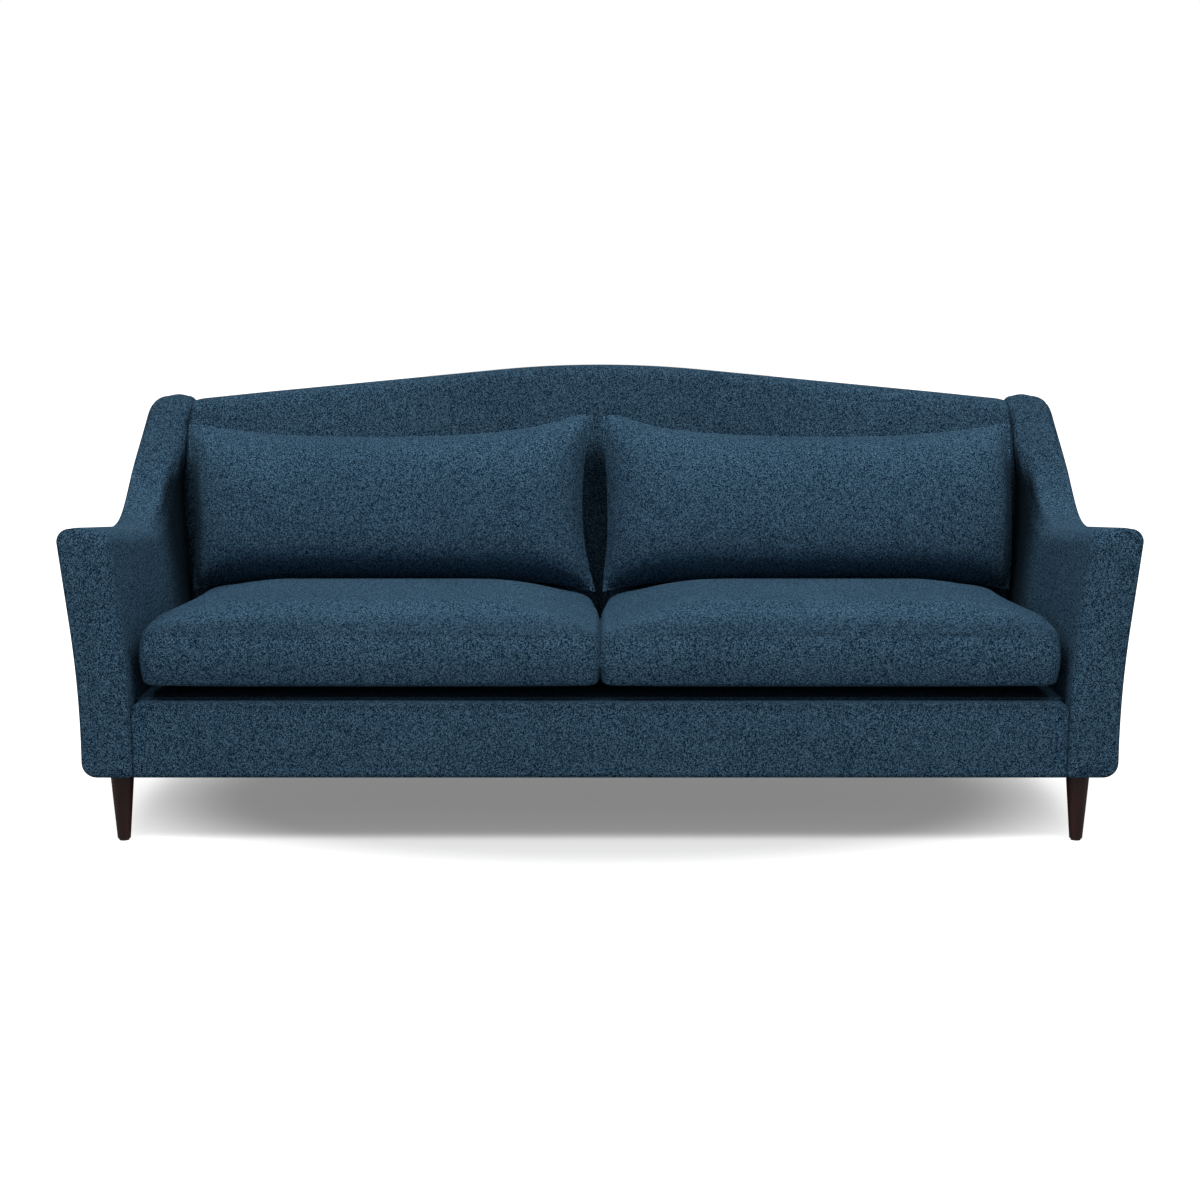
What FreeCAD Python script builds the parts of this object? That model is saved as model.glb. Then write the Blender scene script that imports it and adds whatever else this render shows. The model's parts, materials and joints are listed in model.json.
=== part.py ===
import FreeCAD, Part
import math
import os
import Sketcher
from types import SimpleNamespace
from FreeCAD import Placement, Rotation, Vector

# A two-seat sofa with flared arms that sweep up into wings, a camel back, two loose seat cushions
# and two loose back cushions, on four turned legs.
# Millimetres. +X is the viewer's right, -Y is the front and +Z is up. The origin is on the floor
# under the middle of the sofa. "Left" and "right" are the viewer's.

# Driving sizes. Names with "share" are fractions, names with "count" are numbers of copies, names
# with "angle" are degrees, and everything else is a length.
SIZES = {
    # The whole
    "body_depth": 940,
    "base_high": 135,
    "inside_half": 934,
    "cover_thick": 2,
    "pad_thick": 14,
    "overrun": 60,
    "seat_gap": 0.4,
    "join_gap": 1,
    # Arm seen from the front: the inner and outer lines lean out, then in again along the wing
    "arm_foot_wide": 101.5,
    "flare_start_high": 315,
    "flare_end_high": 650,
    "outer_flare": 40,
    "inner_flare": 40,
    "crown_plane_high": 920,
    "outer_return": 12,
    "inner_return": 22,
    "flare_round": 2170,
    "return_round": 600,
    "foot_round": 30,
    # Arm seen from the side: a falling top, a swoop and a wing
    "arm_front_high": 636,
    "arm_nose_round": 22,
    "dip_back": 365,
    "dip_high": 581,
    "swoop_round": 374,
    "wing_rear_in": 56,
    "wing_high": 859,
    "wing_round": 70,
    "wing_tail_round": 18,
    "arm_edge_round": 18,
    # Back: a slab that leans, with a camel top
    "back_front_in": 296,
    "back_rear_in": 68,
    "back_front_lean": 183,
    "back_rear_lean": 70.3,
    "lean_high": 797,
    "back_shoulder_high": 852,
    "back_crest_high": 943.5,
    "camel_round": 2540,
    "shoulder_round": 26,
    "back_edge_round": 24,
    # Seat box
    "rail_thick": 28,
    "rail_high": 129,
    "rail_clear": 2,
    "front_face_back": 8,
    "front_pad_thick": 10,
    "lip_deep": 48,
    "lip_high": 286,
    "lip_round": 14,
    "lip_corner_round": 20,
    "seat_box_rear_in": 250,
    "stretcher_wide": 40,
    "stretcher_high": 70,
    "block_side": 45,
    "block_high": 90,
    "block_lift": 20,
    "screw_wide": 5,
    "screw_bite": 16,
    "screw_head_wide": 9,
    "screw_head_thick": 3,
    # Arm and back boards
    "arm_board_thick": 32,
    "arm_foot_board_thick": 38,
    "back_board_thick": 40,
    "centre_board_thick": 30,
    "lag_wide": 8,
    "lag_bite": 45,
    "lag_head_wide": 15,
    "lag_head_thick": 5,
    "lag_drop": 18,
    # Springs and deck
    "spring_count": 10,
    "spring_edge": 96,
    "spring_wire": 3.8,
    "spring_width": 54,
    "spring_bar_count": 19,
    "clip_sheet": 1.2,
    "clip_long": 46,
    "clip_deep": 17,
    "clip_inset": 5,
    "deck_cloth_thick": 1.5,
    "deck_side_gap": 1,
    "dust_cover_thick": 1,
    "dust_cover_edge": 12,
    # Webbing in the back
    "web_count": 6,
    "web_wide": 60,
    "web_thick": 1.6,
    "web_foot_high": 330,
    "web_pitch": 88,
    # Legs
    "leg_inset": 73.5,
    "leg_front_back": 40,
    "leg_rear_front": 110,
    "leg_top_wide": 47,
    "leg_foot_wide": 26,
    "glide_thick": 4,
    "glide_wide": 20,
    "glide_pin_wide": 3,
    "glide_pin_long": 14,
    "hanger_wide": 8,
    "hanger_in_leg": 42,
    "nut_flange_wide": 22,
    "nut_flange_thick": 2,
    "nut_barrel_wide": 11,
    "nut_barrel_long": 20,
    # Seat cushions: a boxed border between two seams, with a crown above and a belly below
    "cushion_middle_gap": 10,
    "cushion_side_gap": 18,
    "cushion_front_back": 20,
    "cushion_rear_in": 270,
    "cushion_border_high": 120,
    "cushion_front_dip": 21,
    "cushion_crown": 36,
    "cushion_belly": 32,
    "cushion_shoulder": 150,
    "cushion_draw": 8,
    "cushion_seam_round": 9,
    "cushion_crown_round": 330,
    "cushion_cloth": 1.5,
    "cushion_station_count": 10,
    # Back cushions: knife-edge pillows that lean on the back
    "pillow_inner_gap": 14,
    "pillow_outer_reach": 6,
    "pillow_low": 436,
    "pillow_tall": 378,
    "pillow_ear_rise": 10,
    "pillow_side_draw": 28,
    "pillow_top_draw": 34,
    "pillow_foot_draw": 22,
    "pillow_front_deep": 118,
    "pillow_rear_deep": 56,
    "pillow_stand_off": 68,
    "pillow_station_count": 5,
    "pillow_degree_count": 3,
    # Zips
    "zip_tape_wide": 26,
    "zip_tape_thick": 0.8,
    "zip_chain_wide": 6,
    "zip_chain_thick": 1.8,
    "seat_zip_long": 760,
    "seat_zip_high": 380,
    "pillow_zip_long": 560,
    "zip_slider_long": 12,
    "zip_slider_wide": 9,
    "zip_slider_thick": 4,
    "zip_slider_gap": 0.3,
    "zip_pull_long": 28,
    "zip_pull_wide": 6,
    "zip_pull_thick": 1.4,
    "zip_end": 14,
    # Fractions
    "corner_fit_share": 0.98,
    "pillow_full_share": 2.6,
    "pillow_side_fall_share": 0.45,
    "pillow_end_share": 0.83,
    "crown_full_share": 2.6,
}

doc = FreeCAD.newDocument("sofa")
sheet = doc.addObject("Spreadsheet::Sheet", "Sizes")
for row, (name, value) in enumerate(SIZES.items(), start=1):
    sheet.set(f"A{row}", name)
    sheet.set(f"B{row}", str(value))
    sheet.setAlias(f"B{row}", name)
doc.recompute()
s = SimpleNamespace(**{name: float(sheet.get(name)) for name in SIZES})
nodes = {}


# Helpers for boards and drilled pieces

def keep(label, thing):
    """Name a finished sub-part and list it for export."""
    thing.Label = label
    nodes[label] = thing
    return thing


def place(thing, x="0", y="0", z="0"):
    """Bind a piece's place to the sheet."""
    thing.setExpression("Placement.Base.x", x)
    thing.setExpression("Placement.Base.y", y)
    thing.setExpression("Placement.Base.z", z)
    return thing


def board(name, long, deep, high, x, y, z):
    """A sawn board: a rectangle padded to its height, with its near left corner at x, y, z."""
    body = doc.addObject("PartDesign::Body", name)
    sketch = body.newObject("Sketcher::SketchObject", name + "_outline")
    plane = [feature for feature in body.Origin.OriginFeatures if feature.Role == "XY_Plane"][0]
    sketch.AttachmentSupport = [(plane, "")]
    sketch.MapMode = "FlatFace"
    corners = [Vector(0, 0), Vector(1, 0), Vector(1, 1), Vector(0, 1)]
    for start, end in zip(corners, corners[1:] + corners[:1]):
        sketch.addGeometry(Part.LineSegment(start, end), False)
    for line in range(4):
        sketch.addConstraint(Sketcher.Constraint("Coincident", line, 2, (line + 1) % 4, 1))
    for line, way in enumerate(("Horizontal", "Vertical", "Horizontal", "Vertical")):
        sketch.addConstraint(Sketcher.Constraint(way, line))
    sketch.addConstraint(Sketcher.Constraint("Coincident", 0, 1, -1, 1))
    along = sketch.addConstraint(Sketcher.Constraint("DistanceX", 0, 1, 0, 2, 1))
    across = sketch.addConstraint(Sketcher.Constraint("DistanceY", 1, 1, 1, 2, 1))
    sketch.renameConstraint(along, "along")
    sketch.renameConstraint(across, "across")
    sketch.setExpression("Constraints.along", long)
    sketch.setExpression("Constraints.across", deep)
    pad = body.newObject("PartDesign::Pad", name + "_pad")
    pad.Profile = sketch
    pad.setExpression("Length", high)
    return place(body, x, y, z)


def block(name, long, deep, high, x, y, z):
    """A plain box bound to the sheet."""
    box = doc.addObject("Part::Box", name)
    box.setExpression("Length", long)
    box.setExpression("Width", deep)
    box.setExpression("Height", high)
    return place(box, x, y, z)


def rod(name, wide, long, x, y, z, axis=Vector(0, 0, 1)):
    """A round bar bound to the sheet, from x, y, z along an axis."""
    bar = doc.addObject("Part::Cylinder", name)
    bar.setExpression("Radius", f"({wide}) / 2")
    bar.setExpression("Height", long)
    bar.Placement = Placement(Vector(), Rotation(Vector(0, 0, 1), axis))
    return place(bar, x, y, z)


def joined(name, things):
    """Touching pieces made into one solid."""
    fuse = doc.addObject("Part::MultiFuse", name)
    fuse.Shapes = things
    return fuse


def grouped(name, things):
    """Like pieces that share one node."""
    group = doc.addObject("Part::Compound", name)
    group.Links = things
    return group


def less(name, thing, tool):
    """A piece with another piece's room cut out of it."""
    cut = doc.addObject("Part::Cut", name)
    cut.Base = thing
    cut.Tool = tool
    return cut


def within(name, things):
    """What several solids have in common."""
    common = doc.addObject("Part::MultiCommon", name)
    common.Shapes = things
    return common


def mirrored(name, thing):
    """The same piece for the other side of the sofa."""
    mirror = doc.addObject("Part::Mirroring", name)
    mirror.Source = thing
    mirror.Normal = Vector(1, 0, 0)
    return mirror


def shaped(name, shape, spot=Placement()):
    """A piece whose outline no sketch or primitive gives."""
    feature = doc.addObject("Part::Feature", name)
    feature.Shape = shape
    feature.Placement = spot
    return feature


# Outlines with rounded corners

def rounded_wire(corners, to_space):
    """A closed outline through corners (u, v, radius), each rounded by a tangent arc.

    A radius that two short sides leave no room for is made smaller, so that the arcs never cross.
    """
    points = [to_space(u, v) for u, v, _ in corners]
    count = len(points)
    reaches = []
    halves = []
    for i, (_, _, radius) in enumerate(corners):
        before = points[i - 1] - points[i]
        after = points[(i + 1) % count] - points[i]
        half = before.getAngle(after) / 2
        halves.append(half)
        reaches.append(radius / math.tan(half))
    sides = [(points[(i + 1) % count] - points[i]).Length for i in range(count)]
    fits = [min(1, s.corner_fit_share * sides[i] / max(reaches[i] + reaches[(i + 1) % count], s.seat_gap))
            for i in range(count)]
    ends = []
    for i in range(count):
        reach = reaches[i] * min(fits[i - 1], fits[i])
        before = (points[i - 1] - points[i]).normalize()
        after = (points[(i + 1) % count] - points[i]).normalize()
        if not reach:
            ends.append((points[i], None, points[i]))
            continue
        radius = reach * math.tan(halves[i])
        middle = points[i] + (before + after).normalize() * (radius / math.sin(halves[i]) - radius)
        ends.append((points[i] + before * reach, middle, points[i] + after * reach))
    edges = []
    for i, (start, middle, end) in enumerate(ends):
        if middle is not None:
            edges.append(Part.Arc(start, middle, end).toShape())
        edges.append(Part.makeLine(end, ends[(i + 1) % count][0]))
    return Part.Wire(edges)


def envelope(front_corners, side_corners, inset, reach):
    """The solid that a front outline and a side outline share, both drawn in by an inset."""
    front = rounded_wire(front_corners, lambda x, z: Vector(x, -reach, z))
    side = rounded_wire(side_corners, lambda y, z: Vector(-reach, y, z))
    if inset:
        front = front.makeOffset2D(-inset)
        side = side.makeOffset2D(-inset)
    along = Part.Face(front).extrude(Vector(0, 2 * reach, 0))
    across = Part.Face(side).extrude(Vector(2 * reach, 0, 0))
    return along.common(across).Solids[0]


def eased(solid, low, radius):
    """Round every edge of a solid that isn't on its open underside or a seam of its own faces."""
    edges = []
    for edge in solid.Edges:
        if edge.BoundBox.ZMax < low + s.seat_gap:
            continue
        if edge.BoundBox.XLength < s.seat_gap and edge.BoundBox.ZLength < s.seat_gap:
            continue
        if edge.BoundBox.YLength < s.seat_gap and edge.BoundBox.ZLength < s.seat_gap:
            continue
        edges.append(edge)
    return solid.makeFillet(radius, edges)


# The lines that several pieces share

front_y = -s.body_depth / 2
reach_all = s.body_depth + s.inside_half


def back_front_y(z):
    """Where the front of the back slab stands at a height."""
    return -front_y - s.back_front_in + s.back_front_lean * (z - s.base_high) / s.lean_high


def back_rear_y(z):
    """Where the rear of the sofa stands at a height."""
    return -front_y - s.back_rear_in + s.back_rear_lean * (z - s.base_high) / s.lean_high


def arm_top_corners():
    """The corners of the arm's top line, seen from the side, from front to rear."""
    return [
        (front_y, s.arm_front_high, s.arm_nose_round),
        (-front_y - s.dip_back, s.dip_high, s.swoop_round),
        (-front_y - s.wing_rear_in, s.wing_high, s.wing_round),
        (back_rear_y(s.wing_high), s.wing_high, s.wing_tail_round),
    ]


def inner_line(away):
    """The arm's inner line seen from the front, from the foot up, moved out by a distance."""
    foot = s.inside_half + away
    return [
        (foot, s.flare_start_high, s.flare_round),
        (foot + s.inner_flare, s.flare_end_high, s.return_round),
        (foot + s.inner_flare - s.inner_return, s.crown_plane_high, 0),
    ]


# Arm envelopes: the cover's outside, the pad's outside and the wooden core

def arm_solid(inset, radius):
    """The right arm drawn in by an inset, open to its own foot."""
    low = s.base_high - inset
    outer_foot = s.inside_half + s.arm_foot_wide
    front = [(s.inside_half, low, 0), (outer_foot, low, s.foot_round)]
    front += [
        (outer_foot, s.flare_start_high, s.flare_round),
        (outer_foot + s.outer_flare, s.flare_end_high, s.return_round),
        (outer_foot + s.outer_flare - s.outer_return, s.crown_plane_high, 0),
    ]
    front += inner_line(0)[::-1]
    side = [(back_rear_y(low), low, 0), (front_y, low, 0)] + arm_top_corners()
    solid = envelope(front, side, inset, reach_all)
    if radius > 0:
        return eased(solid, s.base_high, radius)
    return solid


core_inset = s.cover_thick + s.pad_thick
arm_outside = arm_solid(0, s.arm_edge_round)
arm_padding = arm_solid(s.cover_thick, s.arm_edge_round - s.cover_thick)
arm_core = arm_solid(core_inset, s.arm_edge_round - core_inset)

# Back envelopes, made the same way

def back_solid(inset, radius):
    """The back slab drawn in by an inset, open to its own foot."""
    low = s.base_high - inset
    side_line = inner_line(-s.join_gap)[:2]
    shoulder = s.inside_half - s.join_gap + s.inner_flare - s.inner_return * (
        (s.back_shoulder_high - s.flare_end_high) / (s.crown_plane_high - s.flare_end_high))
    right = [(s.inside_half - s.join_gap, low, 0)] + side_line
    right += [(shoulder, s.back_shoulder_high, s.shoulder_round)]
    left = [(-x, z, radius_here) for x, z, radius_here in right[::-1]]
    front = right + [(0, s.back_crest_high, s.camel_round)] + left
    top = s.back_crest_high + s.overrun
    side = [
        (back_front_y(low), low, 0),
        (back_rear_y(low), low, 0),
        (back_rear_y(top), top, 0),
        (back_front_y(top), top, 0),
    ]
    solid = envelope(front, side, inset, reach_all)
    if radius > 0:
        return eased(solid, s.base_high, radius)
    return solid


back_outside = back_solid(0, s.back_edge_round)
back_padding = back_solid(s.cover_thick, s.back_edge_round - s.cover_thick)
back_core = back_solid(core_inset, s.back_edge_round - core_inset)

# Room that the seat box takes from the arms and the back

rail_low = s.base_high + s.rail_clear
rail_top = rail_low + s.rail_high
rail_front = front_y + s.front_face_back + s.cover_thick + s.front_pad_thick
box_half = s.inside_half + core_inset
box_rear = -front_y - s.seat_box_rear_in - s.rail_thick
seat_box_room = Part.makeBox(
    2 * box_half, box_rear + s.rail_thick - rail_front, rail_top - s.base_high,
    Vector(-box_half, rail_front, s.base_high))
deck_top = s.lip_high
deck_room = Part.makeBox(
    2 * (s.inside_half - s.join_gap), box_rear + s.rail_thick - rail_front, deck_top - s.base_high + s.seat_gap,
    Vector(-(s.inside_half - s.join_gap), rail_front, s.base_high))

# Legs, their bolts and their glides

leg_x = "(Sizes.inside_half + Sizes.arm_foot_wide - Sizes.leg_inset)"
leg_front_y = "(-Sizes.body_depth / 2 + Sizes.leg_front_back)"
leg_rear_y = "(Sizes.body_depth / 2 - Sizes.leg_rear_front)"
leg_spots = {
    "front_left": ("-" + leg_x, leg_front_y),
    "front_right": (leg_x, leg_front_y),
    "rear_left": ("-" + leg_x, leg_rear_y),
    "rear_right": (leg_x, leg_rear_y),
}
bolts = []
nuts = []
glides = []
for spot, (x, y) in leg_spots.items():
    bolts.append(rod(
        f"hanger_bolt_{spot}", "Sizes.hanger_wide",
        "Sizes.hanger_in_leg + Sizes.arm_foot_board_thick", x, y, "Sizes.base_high - Sizes.hanger_in_leg"))
    flange = rod(
        f"nut_flange_{spot}", "Sizes.nut_flange_wide", "Sizes.nut_flange_thick",
        x, y, "Sizes.base_high + Sizes.arm_foot_board_thick - Sizes.nut_flange_thick")
    barrel = rod(
        f"nut_barrel_{spot}", "Sizes.nut_barrel_wide", "Sizes.nut_barrel_long",
        x, y, "Sizes.base_high + Sizes.arm_foot_board_thick - Sizes.nut_barrel_long")
    nuts.append(less(f"nut_{spot}", joined(f"nut_blank_{spot}", [flange, barrel]), bolts[-1]))
    disc = rod(f"glide_disc_{spot}", "Sizes.glide_wide", "Sizes.glide_thick", x, y, "0")
    pin = rod(f"glide_pin_{spot}", "Sizes.glide_pin_wide", "Sizes.glide_thick + Sizes.glide_pin_long", x, y, "0")
    glides.append(joined(f"glide_{spot}", [disc, pin]))
hanger_bolts = keep("leg_hanger_bolts", grouped("hanger_bolts", bolts))
tee_nuts = keep("leg_tee_nuts", grouped("tee_nuts", nuts))
leg_glides = keep("leg_glides", grouped("glides", glides))
leg_metal = grouped("leg_metal", [hanger_bolts, leg_glides])
for spot, (x, y) in leg_spots.items():
    turned = doc.addObject("Part::Cone", f"leg_turned_{spot}")
    turned.setExpression("Radius1", "Sizes.leg_foot_wide / 2")
    turned.setExpression("Radius2", "Sizes.leg_top_wide / 2")
    turned.setExpression("Height", "Sizes.base_high - Sizes.glide_thick")
    place(turned, x, y, "Sizes.glide_thick")
    keep(f"{spot}_leg", less(f"leg_{spot}", turned, leg_metal))

# Seat box: four rails, a middle stretcher and a block in each corner

rail_front_text = "(-Sizes.body_depth / 2 + Sizes.front_face_back + Sizes.cover_thick + Sizes.front_pad_thick)"
box_rear_text = "(Sizes.body_depth / 2 - Sizes.seat_box_rear_in - Sizes.rail_thick)"
seat_span_text = f"({box_rear_text} - {rail_front_text} - Sizes.rail_thick)"
box_half_text = "(Sizes.inside_half + Sizes.cover_thick + Sizes.pad_thick)"
rail_low_text = "(Sizes.base_high + Sizes.rail_clear)"
rail_top_text = f"({rail_low_text} + Sizes.rail_high)"

front_rail_board = board(
    "front_rail_board", f"2 * {box_half_text}", "Sizes.rail_thick", "Sizes.rail_high",
    f"-{box_half_text}", rail_front_text, rail_low_text)
rear_rail_board = board(
    "rear_rail_board", f"2 * {box_half_text}", "Sizes.rail_thick", "Sizes.rail_high",
    f"-{box_half_text}", box_rear_text, rail_low_text)
side_rail_boards = {}
for side, x in (("left", f"-{box_half_text}"), ("right", f"{box_half_text} - Sizes.rail_thick")):
    side_rail_boards[side] = board(
        f"{side}_rail_board", "Sizes.rail_thick", seat_span_text, "Sizes.rail_high",
        x, f"{rail_front_text} + Sizes.rail_thick", rail_low_text)
keep("centre_seat_stretcher", board(
    "stretcher_board", "Sizes.stretcher_wide", seat_span_text, "Sizes.stretcher_high",
    "-Sizes.stretcher_wide / 2", f"{rail_front_text} + Sizes.rail_thick", rail_low_text))

# Each corner block is screwed once into the long rail and once into the side rail.
corner_x = f"({box_half_text} - Sizes.rail_thick)"
screws = []
block_blanks = []
for name, x_way, y_way in (
        ("front_left", -1, 1), ("front_right", 1, 1), ("rear_left", -1, -1), ("rear_right", 1, -1)):
    wall_x = f"({x_way} * {corner_x})"
    wall_y = f"({rail_front_text} + Sizes.rail_thick)" if y_way > 0 else box_rear_text
    low_x = wall_x if x_way < 0 else f"({wall_x} - Sizes.block_side)"
    low_y = wall_y if y_way > 0 else f"({wall_y} - Sizes.block_side)"
    low_z = f"({rail_low_text} + Sizes.block_lift)"
    block_blanks.append(board(
        f"block_board_{name}", "Sizes.block_side", "Sizes.block_side", "Sizes.block_high", low_x, low_y, low_z))
    half_x = f"({low_x} + Sizes.block_side / 2)"
    half_y = f"({low_y} + Sizes.block_side / 2)"
    for way, third in (("long", 1), ("side", 2)):
        high = f"({low_z} + Sizes.block_high * {third} / 3)"
        if way == "long":
            axis = Vector(0, -y_way, 0)
            start = (half_x, f"({wall_y} + {y_way} * Sizes.block_side)", high)
            head = (half_x, f"({wall_y} + {y_way} * (Sizes.block_side + Sizes.screw_head_thick))", high)
        else:
            axis = Vector(x_way, 0, 0)
            start = (f"({wall_x} - {x_way} * Sizes.block_side)", half_y, high)
            head = (f"({wall_x} - {x_way} * (Sizes.block_side + Sizes.screw_head_thick))", half_y, high)
        shank = rod(
            f"screw_shank_{name}_{way}", "Sizes.screw_wide", "Sizes.block_side + Sizes.screw_bite", *start, axis)
        cap = rod(f"screw_head_{name}_{way}", "Sizes.screw_head_wide", "Sizes.screw_head_thick", *head, axis)
        screws.append(joined(f"screw_{name}_{way}", [shank, cap]))
corner_screws = keep("corner_block_screws", grouped("corner_screws", screws))
keep("corner_blocks", less("drilled_blocks", grouped("block_blanks", block_blanks), corner_screws))

# Lag screws hold each arm to its side rail.
lags = []
for side, way in (("left", -1), ("right", 1)):
    for place_name, third in (("front", 1), ("rear", 3)):
        y = f"({rail_front_text} + Sizes.rail_thick + {seat_span_text} * {third} / 4)"
        z = f"({rail_low_text} + Sizes.lag_drop)"
        inner = f"({way} * {corner_x})"
        axis = Vector(way, 0, 0)
        shank = rod(
            f"lag_shank_{side}_{place_name}", "Sizes.lag_wide", "Sizes.rail_thick + Sizes.lag_bite",
            inner, y, z, axis)
        cap = rod(
            f"lag_head_{side}_{place_name}", "Sizes.lag_head_wide", "Sizes.lag_head_thick",
            f"({inner} - {way} * Sizes.lag_head_thick)", y, z, axis)
        lags.append(joined(f"lag_{side}_{place_name}", [shank, cap]))
lag_screws = keep("arm_lag_screws", grouped("lag_screws", lags))
keep("front_seat_rail", less("front_rail", front_rail_board, corner_screws))
keep("rear_seat_rail", less("rear_rail", rear_rail_board, corner_screws))
side_metal = grouped("side_metal", [corner_screws, lag_screws])
for side, rail in side_rail_boards.items():
    keep(f"{side}_seat_rail", less(f"{side}_rail", rail, side_metal))

# Arm boards, cut to the core's curves

core_right = shaped("arm_core_right", arm_core)
foot_board_top = "(Sizes.base_high + Sizes.arm_foot_board_thick)"
front_board_text = "(-Sizes.body_depth / 2 + Sizes.cover_thick + Sizes.pad_thick)"
rear_post_text = "(Sizes.body_depth / 2 - Sizes.back_rear_in - Sizes.wing_round - Sizes.arm_board_thick)"
post_wide = "(Sizes.arm_foot_wide + Sizes.outer_flare + Sizes.overrun)"
foot_region = block(
    "arm_foot_region", post_wide, "Sizes.body_depth", "Sizes.arm_foot_board_thick",
    "Sizes.inside_half", "-Sizes.body_depth / 2", "Sizes.base_high")
front_region = block(
    "arm_front_region", post_wide, "Sizes.arm_board_thick", "Sizes.crown_plane_high",
    "Sizes.inside_half", front_board_text, foot_board_top)
rear_region = block(
    "arm_rear_region", post_wide, "Sizes.body_depth", "Sizes.crown_plane_high",
    "Sizes.inside_half", rear_post_text, foot_board_top)


def arm_rail_room():
    """The room of the arm's top rail: a board's thickness under the arm's top line, between the posts."""
    front_end = front_y + core_inset + s.arm_board_thick
    rear_end = -front_y - s.back_rear_in - s.wing_round - s.arm_board_thick
    fall = core_inset + s.arm_board_thick
    (_, front_z, _), (dip_y, dip_z, _), (wing_y, wing_z, _), _ = arm_top_corners()
    falling = (dip_z - front_z) / (dip_y - front_y)
    rising = (wing_z - dip_z) / (wing_y - dip_y)
    top = s.crown_plane_high
    outline = [
        (front_end, front_z + falling * (front_end - front_y) - fall),
        (dip_y, dip_z - fall),
        (rear_end, dip_z + rising * (rear_end - dip_y) - fall),
        (rear_end, top),
        (front_end, top),
    ]
    corners = [Vector(s.inside_half, y, z) for y, z in outline]
    return Part.Face(Part.makePolygon(corners + corners[:1])).extrude(
        Vector(s.arm_foot_wide + s.outer_flare + s.overrun, 0, 0))


rail_region = shaped("arm_rail_region", arm_rail_room())
foot_metal = grouped("foot_metal", [hanger_bolts, tee_nuts, lag_screws])
foot_board = less("arm_foot_board", within("arm_foot_blank", [core_right, foot_region]), foot_metal)
front_post = within("arm_front_board", [core_right, front_region])
rear_post = within("arm_rear_board", [core_right, rear_region])
top_rail = within("arm_rail_board", [core_right, rail_region])
for label, thing in (
        ("arm_bottom_rail", foot_board), ("arm_front_post", front_post),
        ("arm_rear_post", rear_post), ("arm_top_rail", top_rail)):
    keep(f"right_{label}", thing)
    keep(f"left_{label}", mirrored(f"left_{label}_board", thing))

# Arm pads and covers, with the seat box let in

arm_pad = keep("right_arm_pad", shaped(
    "arm_pad_right", arm_padding.cut(arm_core).cut(seat_box_room)))
keep("left_arm_pad", mirrored("arm_pad_left", arm_pad))
arm_cover = keep("right_arm_cover", shaped(
    "arm_cover_right", arm_outside.cut(arm_padding).cut(seat_box_room)))
keep("left_arm_cover", mirrored("arm_cover_left", arm_cover))

# Back boards: a ring that follows the core's outline, and a middle stile

box_end = box_rear + s.rail_thick
front_cut = Part.makeBox(
    2 * reach_all, reach_all, rail_top - s.base_high, Vector(-reach_all, box_end - reach_all, s.base_high))
back_wood = back_core.cut(front_cut)


def back_outline_room(inset):
    """A prism of the back's front outline, drawn in by an inset and open at the foot."""
    side_line = inner_line(-s.join_gap)[:2]
    low = s.base_high - inset
    shoulder = s.inside_half - s.join_gap + s.inner_flare - s.inner_return
    right = [(s.inside_half - s.join_gap, low, 0)] + side_line + [(shoulder, s.back_shoulder_high, s.shoulder_round)]
    left = [(-x, z, radius) for x, z, radius in right[::-1]]
    outline = right + [(0, s.back_crest_high, s.camel_round)] + left
    wire = rounded_wire(outline, lambda x, z: Vector(x, -reach_all, z)).makeOffset2D(-inset)
    return Part.Face(wire).extrude(Vector(0, 2 * reach_all, 0))


inner_room = back_outline_room(core_inset + s.back_board_thick)
shoulder_cut = s.back_shoulder_high - core_inset - s.back_board_thick
top_region = Part.makeBox(
    2 * reach_all, 2 * reach_all, s.crown_plane_high, Vector(-reach_all, -reach_all, shoulder_cut))
foot_room = Part.makeBox(
    2 * reach_all, 2 * reach_all, s.back_board_thick, Vector(-reach_all, -reach_all, s.base_high))
ring = back_wood.cut(inner_room)
side_boards = ring.cut(top_region)
right_half = Part.makeBox(reach_all, 2 * reach_all, reach_all, Vector(0, -reach_all, 0))
stile = side_boards.common(right_half)
foot_stile = back_wood.common(foot_room).cut(stile).cut(stile.mirror(Vector(), Vector(1, 0, 0)))
middle_board = Part.makeBox(
    s.centre_board_thick, 2 * reach_all, reach_all, Vector(-s.centre_board_thick / 2, -reach_all, 0))
centre = back_wood.common(middle_board).cut(foot_room).cut(ring.common(top_region))
keep("back_top_rail", shaped("back_top_board", ring.common(top_region)))
keep("right_back_stile", shaped("back_stile_right", stile))
keep("left_back_stile", mirrored("back_stile_left", nodes["right_back_stile"]))
keep("back_bottom_rail", shaped("back_foot_board", foot_stile))
keep("centre_back_stile", shaped("back_centre_board", centre))

# Webbing across the front of the stiles, let into the pad

lean_angle = math.degrees(math.atan2(s.back_front_lean, s.lean_high))


def webbing():
    """Level bands that follow the lean of the back's front, on the face of the stiles."""
    bands = []
    across = s.inside_half - s.join_gap - core_inset
    for band in range(int(s.web_count)):
        low = s.web_foot_high + band * s.web_pitch
        strap = Part.makeBox(2 * across, s.web_thick, s.web_wide, Vector(-across, -s.web_thick, 0))
        strap.rotate(Vector(), Vector(1, 0, 0), -lean_angle)
        face_y = back_front_y(low) + core_inset / math.cos(math.radians(lean_angle))
        strap.translate(Vector(0, face_y, low))
        bands.append(strap)
    return Part.makeCompound(bands)


back_webbing = keep("back_webbing", shaped("webbing", webbing()))
back_pad_shape = back_padding.cut(back_core).cut(deck_room).cut(seat_box_room).cut(back_webbing.Shape)
keep("back_pad", shaped("back_pad_shape", back_pad_shape))
back_skin = back_outside.cut(back_padding).cut(deck_room).cut(seat_box_room)


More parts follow.
